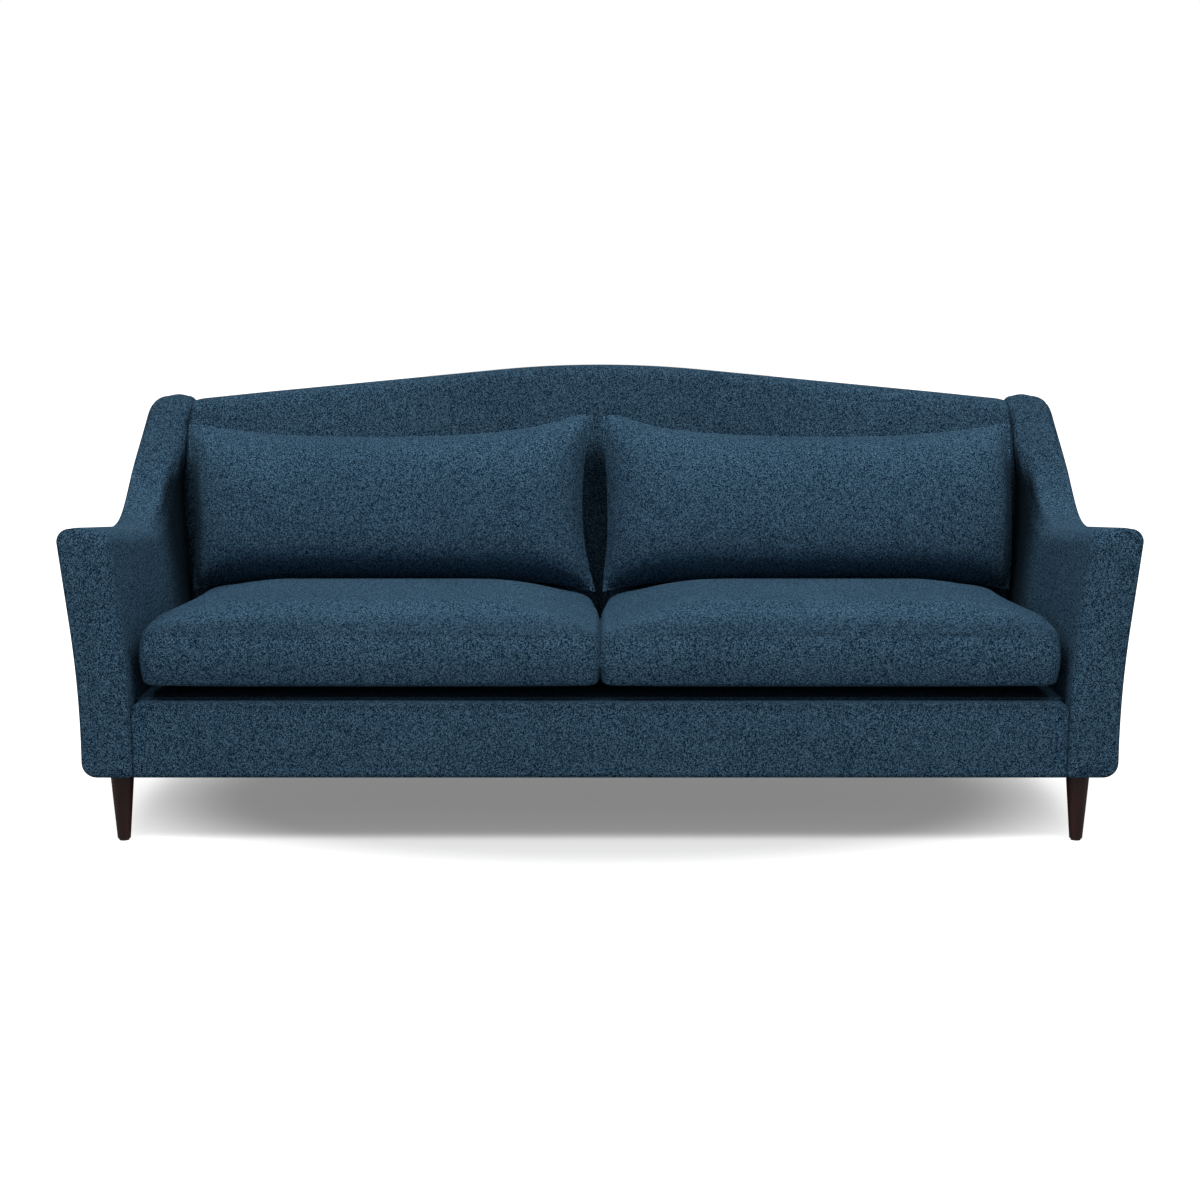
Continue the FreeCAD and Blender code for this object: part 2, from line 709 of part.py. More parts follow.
def rear_room():
    """Everything behind the seam that runs round the rear of the back."""
    low = s.base_high - s.overrun
    top = s.crown_plane_high + s.overrun
    outline = [(back_rear_y(low) - s.back_edge_round, low), (back_rear_y(low) + s.overrun, low),
               (back_rear_y(top) + s.overrun, top), (back_rear_y(top) - s.back_edge_round, top)]
    corners = [Vector(-reach_all, y, z) for y, z in outline]
    return Part.Face(Part.makePolygon(corners + corners[:1])).extrude(Vector(2 * reach_all, 0, 0))


keep("back_outside_cover", shaped("back_rear_skin", back_skin.common(rear_room())))
keep("back_inside_cover", shaped("back_front_skin", back_skin.cut(rear_room())))

# Front rail: an upholstered lip over the wooden rail

def lip_solid(inset):
    """The front lip drawn in by an inset at its front, top and ends."""
    half = s.inside_half - s.join_gap
    low = s.base_high - inset
    rear = front_y + s.front_face_back + s.lip_deep + inset
    front = [(-half, low, 0), (half, low, 0),
             (half, s.lip_high, s.lip_corner_round), (-half, s.lip_high, s.lip_corner_round)]
    side = [(front_y + s.front_face_back, low, 0), (rear, low, 0), (rear, s.lip_high, 0),
            (front_y + s.front_face_back, s.lip_high, s.lip_round)]
    return envelope(front, side, inset, reach_all)


clip_top = rail_top + 2 * s.clip_sheet + s.spring_wire
clip_room = Part.makeBox(
    2 * box_half, s.rail_thick + s.lip_deep, clip_top - s.base_high,
    Vector(-box_half, rail_front + s.clip_inset, s.base_high))
lip_inner = lip_solid(s.cover_thick)
keep("front_rail_cover", shaped("lip_cover", lip_solid(0).cut(lip_inner).cut(seat_box_room).cut(clip_room)))
keep("front_rail_pad", shaped("lip_pad", lip_inner.cut(seat_box_room).cut(clip_room)))

# Sinuous springs, clipped to the tops of the front and rear rails

wire_z = rail_top + s.clip_sheet + s.spring_wire / 2
spring_front_y = rail_front + s.clip_inset + s.clip_deep / 2
spring_rear_y = box_end - s.clip_inset - s.clip_deep / 2
bar_pitch = (spring_rear_y - spring_front_y) / (s.spring_bar_count - 1)


def spring_path():
    """Straight bars across the seat joined by half turns, each as two quarter arcs."""
    radius = bar_pitch / 2
    half = s.spring_width / 2 - radius
    edges = []
    for bar in range(int(s.spring_bar_count)):
        y = spring_front_y + bar * bar_pitch
        way = 1 if bar % 2 == 0 else -1
        edges.append(Part.makeLine(Vector(-way * half, y, wire_z), Vector(way * half, y, wire_z)))
        if bar < int(s.spring_bar_count) - 1:
            slant = radius / math.sqrt(2)
            tip = Vector(way * (half + radius), y + radius, wire_z)
            near = Vector(way * (half + slant), y + radius - slant, wire_z)
            far = Vector(way * (half + slant), y + radius + slant, wire_z)
            edges.append(Part.Arc(Vector(way * half, y, wire_z), near, tip).toShape())
            edges.append(Part.Arc(tip, far, Vector(way * half, y + bar_pitch, wire_z)).toShape())
    return Part.Wire(edges)


def spring_solid():
    """One sinuous spring as one unbroken wire."""
    path = spring_path()
    start = path.Edges[0].Vertexes[0].Point
    ring_edge = Part.makeCircle(s.spring_wire / 2, start, Vector(1, 0, 0))
    return path.makePipeShell([Part.Wire(ring_edge)], True, False)


def spring_places():
    """The middle of each spring, evenly spread between the arms."""
    edge = s.inside_half - s.spring_edge
    step = 2 * edge / (s.spring_count - 1)
    return [-edge + i * step for i in range(int(s.spring_count))]


one_spring = spring_solid()
springs = [one_spring.translated(Vector(x, 0, 0)) for x in spring_places()]
keep("seat_springs", shaped("springs", Part.makeCompound(springs)))


def clip_solid(x, y):
    """A folded clip round the end bar of a spring, open towards the next turn."""
    high = 2 * s.clip_sheet + s.spring_wire
    outer = Part.makeBox(s.clip_long, s.clip_deep, high, Vector(x - s.clip_long / 2, y - s.clip_deep / 2, rail_top))
    gap = s.spring_width + s.overrun
    room = Part.makeBox(
        gap, s.clip_deep, s.spring_wire,
        Vector(
            x - gap / 2, y - s.spring_wire / 2 if y < 0 else y - s.clip_deep + s.spring_wire / 2,
            rail_top + s.clip_sheet))
    return outer.cut(room)


clips = [clip_solid(x, y) for x in spring_places() for y in (spring_front_y, spring_rear_y)]
keep("spring_clips", shaped("clips", Part.makeCompound(clips)))

# Deck over the springs, and the dust cover under the frame

lip_rear_text = "(-Sizes.body_depth / 2 + Sizes.front_face_back + Sizes.lip_deep)"
deck_half_text = "(Sizes.inside_half - Sizes.join_gap - Sizes.deck_side_gap)"
deck_rear_text = f"({box_rear_text} + Sizes.rail_thick)"
deck_pad_low = f"({rail_top_text} + 2 * Sizes.clip_sheet + Sizes.spring_wire + Sizes.seat_gap)"
keep("seat_deck_pad", block(
    "deck_pad", f"2 * {deck_half_text}", f"{deck_rear_text} - {lip_rear_text}",
    f"Sizes.lip_high - Sizes.deck_cloth_thick - {deck_pad_low}", f"-{deck_half_text}", lip_rear_text, deck_pad_low))
keep("seat_deck_cloth", block(
    "deck_cloth", f"2 * {deck_half_text}", f"{deck_rear_text} - {lip_rear_text}", "Sizes.deck_cloth_thick",
    f"-{deck_half_text}", lip_rear_text, "Sizes.lip_high - Sizes.deck_cloth_thick"))
dust_half = "(Sizes.inside_half - Sizes.dust_cover_edge)"
keep("dust_cover", block(
    "dust_sheet", f"2 * {dust_half}",
    "Sizes.body_depth - Sizes.back_rear_in - Sizes.front_face_back - 2 * Sizes.dust_cover_edge",
    "Sizes.dust_cover_thick", f"-{dust_half}",
    "-Sizes.body_depth / 2 + Sizes.front_face_back + Sizes.dust_cover_edge",
    "Sizes.base_high - Sizes.dust_cover_thick"))

# Seat cushions

cushion_front = front_y + s.cushion_front_back
cushion_rear = -front_y - s.cushion_rear_in
cushion_inner = s.cushion_middle_gap / 2
cushion_outer = s.inside_half - s.cushion_side_gap
cushion_seam_low = s.lip_high + 2 * s.seat_gap + s.cushion_belly


def fullness(along, power):
    """How full a stuffed form is at a point from one end (0) to the other (1)."""
    return (1 - abs(2 * along - 1) ** power) ** (1 / power)


def cushion_solid(inset):
    """A right seat cushion drawn in by an inset: a loft from its front border to its rear border."""
    count = int(s.cushion_station_count)
    sections = []
    for station in range(count + 1):
        along = (1 - math.cos(math.pi * station / count)) / 2
        y = cushion_front + inset + along * (cushion_rear - cushion_front - 2 * inset)
        full = fullness(along, s.crown_full_share)
        early = max(0, 1 - along * count / 2)
        draw = s.cushion_draw * full + inset
        low = cushion_seam_low + inset
        high = cushion_seam_low + s.cushion_border_high - s.cushion_front_dip * early - inset
        crown = high + s.cushion_crown * full
        belly = low - s.cushion_belly * full
        left = cushion_inner + draw
        right = cushion_outer - draw
        shoulder = s.cushion_shoulder
        crown = max(crown, high + s.seat_gap)
        belly = min(belly, low - s.seat_gap)
        corners = [
            (left, low, s.cushion_seam_round), (left + shoulder, belly, s.cushion_crown_round),
            (right - shoulder, belly, s.cushion_crown_round), (right, low, s.cushion_seam_round),
            (right, high, s.cushion_seam_round), (right - shoulder, crown, s.cushion_crown_round),
            (left + shoulder, crown, s.cushion_crown_round), (left, high, s.cushion_seam_round),
        ]
        sections.append(rounded_wire(corners, lambda x, z, y=y: Vector(x, y, z)))
    return Part.makeLoft(sections, True, False)


# Zips: a tape with its chain, and a slider with its pull

def facing(origin, up, out):
    """A placement whose Y is up and whose Z points out of the cloth."""
    side = up.cross(out)
    columns = FreeCAD.Matrix(
        side.x, up.x, out.x, origin.x,
        side.y, up.y, out.y, origin.y,
        side.z, up.z, out.z, origin.z,
        0, 0, 0, 1)
    return Placement(columns)


def centred_box(long, wide, thick, x=0, y=0, z=0):
    """A box centred on x and y that starts at z."""
    return Part.makeBox(long, wide, thick, Vector(x - long / 2, y - wide / 2, z))


def zip_tape(long):
    """The tape with its chain, flat against the cloth."""
    tape = centred_box(long, s.zip_tape_wide, s.zip_tape_thick)
    chain = centred_box(long, s.zip_chain_wide, s.zip_chain_thick, z=s.zip_tape_thick)
    return tape.fuse(chain).removeSplitter()


def zip_slider(long):
    """The slider at the closed end of its chain, with the pull hanging down."""
    x = long / 2 - s.zip_end
    floor = s.zip_tape_thick + s.zip_chain_thick + s.zip_slider_gap
    car = centred_box(s.zip_slider_long, s.zip_slider_wide, s.zip_slider_thick, x=x, z=floor)
    pull = centred_box(
        s.zip_pull_wide, s.zip_pull_long, s.zip_pull_thick,
        x=x, y=-s.zip_pull_long / 2, z=floor + s.zip_slider_thick - s.zip_pull_thick)
    return car.fuse(pull).removeSplitter()


def both_sides(label, name, shape, spot=Placement()):
    """Keep a right-hand piece and its left-hand twin."""
    right = keep("right_" + label, shaped(name + "_right", shape, spot))
    keep("left_" + label, mirrored(name + "_left", right))


seat_whole = cushion_solid(0)
seat_filling = cushion_solid(s.cushion_cloth)
both_sides("seat_cushion_cover", "seat_cover", seat_whole.cut(seat_filling))
both_sides("seat_cushion_filling", "seat_filling", seat_filling)
cushion_mid = (cushion_inner + cushion_outer) / 2
seat_zip_spot = facing(Vector(cushion_mid, cushion_rear, s.seat_zip_high), Vector(0, 0, 1), Vector(0, 1, 0))
both_sides("seat_cushion_zip", "seat_zip", zip_tape(s.seat_zip_long), seat_zip_spot)
both_sides("seat_zip_slider", "seat_slider", zip_slider(s.seat_zip_long), seat_zip_spot)

# Back cushions

lean = math.radians(lean_angle)
pillow_up = Vector(0, math.sin(lean), math.cos(lean))
pillow_front = Vector(0, -math.cos(lean), math.sin(lean))
pillow_inner = s.pillow_inner_gap / 2
pillow_outer = s.inside_half + s.pillow_outer_reach
pillow_foot = Vector(
    (pillow_inner + pillow_outer) / 2,
    back_front_y(s.pillow_low) - s.pillow_stand_off / math.cos(lean),
    s.pillow_low)


def pillow_outline(depth, wide_scale, tall_scale, draw_scale, inset):
    """One section of a pillow: four arcs that bow inwards between the corners."""
    half = (pillow_outer - pillow_inner) / 2 * wide_scale - inset
    middle = s.pillow_tall / 2
    rise = middle * tall_scale - inset
    ear = s.pillow_ear_rise * draw_scale
    top = middle + rise + ear
    low = middle - rise
    corners = [(-half, low), (half, low), (half, top), (-half, top)]
    bows = [
        (0, low + s.pillow_foot_draw * draw_scale),
        (half - s.pillow_side_draw * draw_scale, middle),
        (0, top - s.pillow_top_draw * draw_scale),
        (-half + s.pillow_side_draw * draw_scale, middle),
    ]
    edges = []
    for i in range(4):
        ends = [corners[i], bows[i], corners[(i + 1) % 4]]
        points = [pillow_foot + Vector(x, 0, 0) + pillow_up * v + pillow_front * depth for x, v in ends]
        edges.append(Part.Arc(*points).toShape())
    return Part.Wire(edges)


def pillow_solid(inset):
    """A right back cushion drawn in by an inset: a loft through its thickness, from rear to front."""
    count = int(s.pillow_station_count)
    sections = []
    for station in range(-count, count + 1):
        turn = math.pi / 2 * s.pillow_end_share * station / count
        out = abs(math.sin(turn)) ** (2 / s.pillow_full_share)
        scale = math.cos(turn) ** (2 / s.pillow_full_share)
        if station < 0:
            depth = -out * (s.pillow_rear_deep - inset)
        else:
            depth = out * (s.pillow_front_deep - inset)
        wide_scale = 1 - (1 - scale) * s.pillow_side_fall_share
        sections.append(pillow_outline(depth, wide_scale, scale, scale ** 2, inset))
    return Part.makeLoft(sections, True, False, False, int(s.pillow_degree_count))


pillow_whole = pillow_solid(0).cut(cushion_solid(-s.seat_gap))
pillow_filling = pillow_solid(s.cushion_cloth).cut(cushion_solid(-s.seat_gap - s.cushion_cloth))
both_sides("back_cushion_cover", "pillow_cover", pillow_whole.cut(pillow_filling))
both_sides("back_cushion_filling", "pillow_filling", pillow_filling)
end_turn = math.pi / 2 * s.pillow_end_share
cap_deep = s.pillow_rear_deep * math.sin(end_turn) ** (2 / s.pillow_full_share)
pillow_zip_spot = facing(
    pillow_foot + pillow_up * (s.pillow_tall / 2) - pillow_front * cap_deep, pillow_up, -pillow_front)
both_sides("back_cushion_zip", "pillow_zip", zip_tape(s.pillow_zip_long), pillow_zip_spot)
both_sides("back_zip_slider", "pillow_slider", zip_slider(s.pillow_zip_long), pillow_zip_spot)

# Check every piece, then write each one to its own file

doc.recompute()
failed = [thing.Name for thing in doc.Objects if "Invalid" in thing.State or "Error" in thing.State]
if failed:
    raise RuntimeError(f"failed objects: {failed}")
for label, thing in nodes.items():
    if thing.Shape.isNull() or not thing.Shape.isValid() or not thing.Shape.Solids:
        raise RuntimeError(f"{label} has no valid shape")
os.makedirs("parts", exist_ok=True)
for label, thing in nodes.items():
    thing.Shape.exportStep(f"parts/{label}.step")
whole = Part.makeCompound([thing.Shape for thing in nodes.values()])
print(len(nodes), "pieces in", whole.BoundBox)
for label, thing in nodes.items():
    box = thing.Shape.BoundBox
    print(f"{label}: {len(thing.Shape.Solids)} solids, {thing.Shape.Volume / 1000:.0f} ml,",
          f"X {box.XMin:.1f} {box.XMax:.1f}, Y {box.YMin:.1f} {box.YMax:.1f}, Z {box.ZMin:.1f} {box.ZMax:.1f}")
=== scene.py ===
"""The looks of a two-seat sofa: heathered blue cloth over padded arms and back, loose cushions,
dark turned legs, and the frame, springs and zips inside. Metres, +Z up, -Y towards the front."""

import json
import math

import bmesh
import bpy
import numpy as np
from bpy.props import FloatProperty, FloatVectorProperty, IntProperty, PointerProperty
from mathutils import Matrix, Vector


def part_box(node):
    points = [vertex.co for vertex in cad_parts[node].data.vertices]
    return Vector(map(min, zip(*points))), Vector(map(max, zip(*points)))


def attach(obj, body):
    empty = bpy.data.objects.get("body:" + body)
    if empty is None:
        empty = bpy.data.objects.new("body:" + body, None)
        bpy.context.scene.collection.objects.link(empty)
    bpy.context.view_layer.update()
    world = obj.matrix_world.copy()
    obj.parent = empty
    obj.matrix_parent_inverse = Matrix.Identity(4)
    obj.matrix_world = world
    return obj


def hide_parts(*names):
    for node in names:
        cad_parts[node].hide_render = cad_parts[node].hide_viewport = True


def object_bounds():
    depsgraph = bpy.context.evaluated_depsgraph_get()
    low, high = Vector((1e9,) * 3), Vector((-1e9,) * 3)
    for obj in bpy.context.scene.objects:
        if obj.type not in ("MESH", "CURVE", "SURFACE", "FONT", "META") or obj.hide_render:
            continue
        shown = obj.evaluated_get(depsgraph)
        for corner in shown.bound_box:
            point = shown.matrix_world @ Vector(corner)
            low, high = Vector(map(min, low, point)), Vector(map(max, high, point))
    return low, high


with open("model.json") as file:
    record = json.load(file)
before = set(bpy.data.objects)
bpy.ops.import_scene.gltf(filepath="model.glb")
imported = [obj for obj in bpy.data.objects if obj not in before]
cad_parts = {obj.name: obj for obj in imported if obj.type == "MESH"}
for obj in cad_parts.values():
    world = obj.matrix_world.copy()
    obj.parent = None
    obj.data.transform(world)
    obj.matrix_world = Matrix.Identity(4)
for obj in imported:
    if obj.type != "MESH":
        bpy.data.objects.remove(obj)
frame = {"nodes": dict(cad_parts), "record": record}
CAD_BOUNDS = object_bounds()

bl_info = {
    "name": "Camel-back sofa",
    "version": (1, 0, 0),
    "blender": (4, 5, 0),
    "location": "View3D > Sidebar > Sofa",
    "description": "Dresses the sofa's frame in cloth, wood and metal",
    "category": "Object",
}

# The frame's own places, which every soft piece starts from

BASE_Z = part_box("dust_cover")[1].z
FRONT_Y = CAD_BOUNDS[0][1]
LIP_LOW, LIP_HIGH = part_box("front_rail_cover")
SEAT_LOW, SEAT_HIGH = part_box("right_seat_cushion_cover")
DECK_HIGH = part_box("seat_deck_cloth")[1]
ZIP_LOW, ZIP_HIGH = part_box("right_back_cushion_zip")
ZIP_MIDDLE = (ZIP_LOW + ZIP_HIGH) / 2
ZIP_HALF = (ZIP_HIGH.x - ZIP_LOW.x) / 2

# The sofa's two sides with their direction, and the corners of a face as steps across and up

SIDES = (("right", 1), ("left", -1))
SQUARE = ((0, 0), (1, 0), (1, 1), (0, 1))

# The heights, places and radii where the arms' and the back's lines bend

FLARE_LOW, FLARE_HIGH, CROWN_HIGH = 0.315, 0.650, 0.920
FLARE_ROUND, RETURN_ROUND = 2.17, 0.6
ARM_FRONT_HIGH = 0.636
DIP_BACK, DIP_HIGH, SWOOP_ROUND = 0.575, 0.581, 0.374
WING_BACK, WING_HIGH, WING_TOP_ROUND = 0.884, 0.859, 0.070
BACK_LOW, BACK_RISE = 0.135, 0.797
BACK_FRONT_IN, BACK_FRONT_LEAN = 0.296, 0.183
BACK_REAR_IN, BACK_REAR_LEAN = 0.068, 0.0703
BACK_LEAN = math.atan2(BACK_FRONT_LEAN, BACK_RISE)
SHOULDER_X, SHOULDER_HIGH, CREST_HIGH, CAMEL_ROUND = 0.96, 0.852, 0.9435, 2.54


# Settings

def length(name, description, default, **limits):
    """A length that the panel shows."""
    return FloatProperty(name=name, description=description, default=default, unit="LENGTH", **limits)


def yarn(name, description, default):
    """The colour of a yarn."""
    return FloatVectorProperty(
        name=name, description=description, default=default, subtype="COLOR", size=3, min=0, max=1)


class ClothSettings(bpy.types.PropertyGroup):
    """The upholstery cloth."""

    dark: yarn("Dark yarn", "Colour of the darkest flecks", (0.0010, 0.0060, 0.0180))
    shade: yarn("Shaded yarn", "Colour of the darker half of the yarn", (0.006, 0.023, 0.048))
    middle: yarn("Main yarn", "Colour of the lighter half of the yarn", (0.029, 0.078, 0.132))
    light: yarn("Light yarn", "Colour of the palest flecks", (0.115, 0.215, 0.310))
    fleck: length("Fleck size", "Width of one fleck of yarn", 0.0013, min=0.0005, max=0.02)
    thread: length("Thread pitch", "Distance from one thread to the next", 0.0016, min=0.0003, max=0.01)


class ArmSettings(bpy.types.PropertyGroup):
    """The shape of an arm and its wing."""

    foot_inner: length("Inner foot", "Inner face at the foot, from the middle", 0.9345)
    foot_wide: length("Foot width", "Thickness at the foot", 0.101)
    inner_round: length(
        "Inner rounding", "Radius of the soft edges towards the seat", 0.040, min=0.005, max=0.05)
    wing_round: length("Wing rounding", "Radius of the wing's soft edge", 0.022, min=0.005, max=0.04)
    nose_round: length("Nose rounding", "Radius of the top's outer edge in front", 0.027, min=0.005, max=0.04)
    dip_round: length("Dip rounding", "Radius of the top's outer edge in the dip", 0.011, min=0.005, max=0.04)
    shoulder_round: length(
        "Shoulder rounding", "Radius of the top's outer edge on the wing", 0.042, min=0.005, max=0.05)
    foot_round: length("Foot rounding", "Radius of the outer corner at the foot", 0.030, min=0.005, max=0.05)
    seam_round: length(
        "Seamed rounding", "Radius where a seam runs along an edge", 0.008, min=0.002, max=0.03)
    seam_sink: length("Seam depth", "How far a seam sinks into the padding", 0.0016)
    puff: length("Puff", "How far the padding swells the flat faces", 0.004)
    crown: length("Crown", "How far the top swells between its edges", 0.003)


class BackSettings(bpy.types.PropertyGroup):
    """The shape of the back."""

    top_round: length("Top rounding", "Radius of the back's top edges", 0.032)
    end_round: length("End rounding", "Radius where the back meets the wings", 0.016)
    puff: length("Puff", "How far the padding swells the front", 0.006)


class CushionSettings(bpy.types.PropertyGroup):
    """The loose cushions."""

    spacing: length("Mesh spacing", "Distance between points before subdivision", 0.013)
    pressure: FloatProperty(
        name="Pressure", description="How hard the filling pushes on the cloth", default=4.0)
    frames: IntProperty(name="Frames", description="Steps of the simulation", default=20, min=2, max=60)
    cap: length("Most swell", "The furthest that a point may move", 0.005)
    border_bulge: length("Border bulge", "How far a seat cushion's border swells", 0.009)
    seam_sink: length("Seam depth", "How far a seam sinks into a cushion", 0.0028)


class TrimSettings(bpy.types.PropertyGroup):
    """The zips' teeth, the sewing and the staples."""

    tooth_pitch: length("Tooth pitch", "Distance between the zip's teeth", 0.0030, min=0.001)
    stitch_pitch: length("Stitch pitch", "Distance between stitches", 0.0040, min=0.001)
    staple_pitch: length("Staple pitch", "Distance between staples", 0.055, min=0.015)
    unevenness: FloatProperty(
        name="Unevenness", description="How far a stitch or staple may be turned", subtype="ANGLE",
        default=0.05)


class StageSettings(bpy.types.PropertyGroup):
    """The camera, the lamps and the floor."""

    eye: FloatVectorProperty(
        name="Eye", description="Where the camera stands", subtype="TRANSLATION", size=3,
        default=(0.0, -4.57, 1.06))
    pitch: FloatProperty(
        name="Tilt", description="How far the camera looks down", subtype="ANGLE",
        default=math.radians(7.852))
    lens: FloatProperty(name="Lens", description="Focal length on a 36 mm frame", default=62.97, min=10)
    sky: FloatProperty(name="Sky", description="Strength of the even light", default=0.40, min=0)
    softbox: FloatProperty(name="Softboxes", description="Power of each lamp", unit="POWER", default=196)
    # The floor's glow inside the painted shadow under the sofa
    floor_glow: FloatProperty(
        name="Floor glow", description="Light of the floor under the sofa", default=0.22)


# Helpers: smooth outlines

def rounded_line(corners, radii, steps=14):
    """An open line through corners with tangent arcs, as points."""
    corners = [np.array(corner, float) for corner in corners]
    points = [corners[0]]
    for before, corner, after, radius in zip(corners, corners[1:], corners[2:], radii):
        back = (before - corner) / np.linalg.norm(before - corner)
        ahead = (after - corner) / np.linalg.norm(after - corner)
        half = math.acos(np.clip(back @ ahead, -1, 1)) / 2
        longest = 0.49 * min(np.linalg.norm(before - corner), np.linalg.norm(after - corner))
        reach = min(radius / math.tan(half), longest)
        radius = reach * math.tan(half)
        middle = corner + (back + ahead) / np.linalg.norm(back + ahead) * radius / math.sin(half)
        start = corner + back * reach
        end = corner + ahead * reach
        for step in range(steps + 1):
            mix = step / steps
            spoke = (start - middle) * (1 - mix) + (end - middle) * mix
            points.append(middle + spoke / np.linalg.norm(spoke) * radius)
    points.append(corners[-1])
    return np.array(points)


def across_at(line, z):
    """How far from the middle a line seen from the front stands at a height."""
    return np.interp(z, line[:, 1], line[:, 0])


def along(points, count):
    """Points evenly spread along a line."""
    steps = np.linalg.norm(np.diff(points, axis=0), axis=1)
    gone = np.concatenate([[0], np.cumsum(steps)])
    places = np.linspace(0, gone[-1], count)
    return np.stack([np.interp(places, gone, points[:, axis]) for axis in range(points.shape[1])], axis=1)


def eased_steps(count):
    """Numbers from 0 to 1, closer together at both ends."""
    return (1 - np.cos(np.linspace(0, math.pi, count))) / 2


def blend(first, second, share):
    """A value at a share of the way from one to another."""
    return first + (second - first) * share


def smooth(value, low, high):
    """A number from 0 to 1 that rises softly from one place to another."""
    mix = np.clip((value - low) / (high - low), 0, 1)
    return mix * mix * (3 - 2 * mix)


def soft_line(table, at):
    """A smooth line through a table of places and values, read at the given places."""
    places, values = np.array(table, float).T
    slopes = np.gradient(values, places)
    row = np.clip(np.searchsorted(places, at) - 1, 0, len(places) - 2)
    wide = places[row + 1] - places[row]
    mix = (at - places[row]) / wide
    return (values[row] * (1 + 2 * mix) * (1 - mix) ** 2 + values[row + 1] * (3 - 2 * mix) * mix ** 2
            + wide * (slopes[row] * mix * (1 - mix) ** 2 - slopes[row + 1] * mix ** 2 * (1 - mix)))


def seamed_steps(whole, spacing):
    """Places along a length, closer together beside the seams at both ends."""
    near = np.array([0, 0.003, 0.008])
    margin = 0.016
    count = max(2, int((whole - 2 * margin) / spacing) + 1)
    return np.concatenate([near, np.linspace(margin, whole - margin, count), whole - near[::-1]])


def seamed_shares(whole, spacing):
    """The same places as shares of the length."""
    return seamed_steps(whole, spacing) / whole


def waver(points, depth):
    """A slow, slight unevenness over a padded face."""
    x, y, z = points[:, 0], points[:, 1], points[:, 2]
    return depth * (np.sin(17 * y + 9 * z + 5 * x) * np.sin(13 * z - 8 * y + 1.7)
                    + 0.6 * np.sin(31 * z + 12 * x - 23 * y + 0.6))


def run(start, end, shares, *rest):
    """Rows along a straight line between two corners, each with the same further values."""
    (y, z), (to_y, to_z) = start, end
    return [(blend(y, to_y, mix), blend(z, to_z, mix), *rest) for mix in shares]


def quarter(middle, radius, start, shares, *rest):
    """Rows round a quarter turn, clockwise from an angle in degrees, with their outward directions."""
    rows = []
    for mix in shares:
        turn = math.radians(start) - math.pi / 2 * mix
        out = (math.cos(turn), math.sin(turn))
        rows.append((middle[0] + radius * out[0], middle[1] + radius * out[1], *out, *rest))
    return rows


# Helpers: meshes and simulation

def linked_object(name, data):
    """An object in the scene that shows the given data."""
    made = bpy.data.objects.new(name, data)
    bpy.context.scene.collection.objects.link(made)
    return made


def mesh_object(name, points, faces, merge=1e-5):
    """A smooth-shaded mesh object with its faces pointing outwards and points nearer than merge made one."""
    mesh = bpy.data.meshes.new(name)
    mesh.from_pydata([tuple(point) for point in points], [], faces)
    turned = bmesh.new()
    turned.from_mesh(mesh)
    if merge:
        bmesh.ops.remove_doubles(turned, verts=turned.verts, dist=merge)
    bmesh.ops.recalc_face_normals(turned, faces=turned.faces)
    turned.to_mesh(mesh)
    turned.free()
    shade_smooth(mesh)
    return linked_object(name, mesh)


def shade_smooth(mesh, smoothed=True):
    """Shade all of a mesh's faces smooth or flat."""
    for face in mesh.polygons:
        face.use_smooth = smoothed


def quads(numbers):
    """Four-sided faces between the points that a table numbers."""
    corners = [numbers[:-1, :-1], numbers[:-1, 1:], numbers[1:, 1:], numbers[1:, :-1]]
    return np.stack(corners, axis=-1).reshape(-1, 4).tolist()


def ringed_object(name, rings):
    """A closed form through rings that shrink to a line at both ends."""
    points = np.concatenate(rings)
    numbers = np.arange(len(points)).reshape(len(rings), -1)
    return mesh_object(name, points, quads(np.hstack([numbers, numbers[:, :1]])))


def shrunk(ring, spine, shares):
    """Rings between an outer ring and the line that it closes on, with the outer ring first."""
    return [ring * (1 - share) + spine * share for share in shares]


def apply_modifiers(piece):
    """Swap a piece's mesh for what its modifiers give."""
    bpy.context.view_layer.update()
    graph = bpy.context.evaluated_depsgraph_get()
    mesh = bpy.data.meshes.new_from_object(piece.evaluated_get(graph))
    piece.modifiers.clear()
    old = piece.data
    piece.data = mesh
    bpy.data.meshes.remove(old)
    shade_smooth(mesh)


def read_points(mesh):
    """A mesh's points as an array."""
    flat = np.zeros(len(mesh.vertices) * 3, np.float32)
    mesh.vertices.foreach_get("co", flat)
    return flat.reshape(-1, 3).astype(float)


def write_points(mesh, points):
    """Move a mesh's points."""
    mesh.vertices.foreach_set("co", points.astype(np.float32).ravel())
    mesh.update()


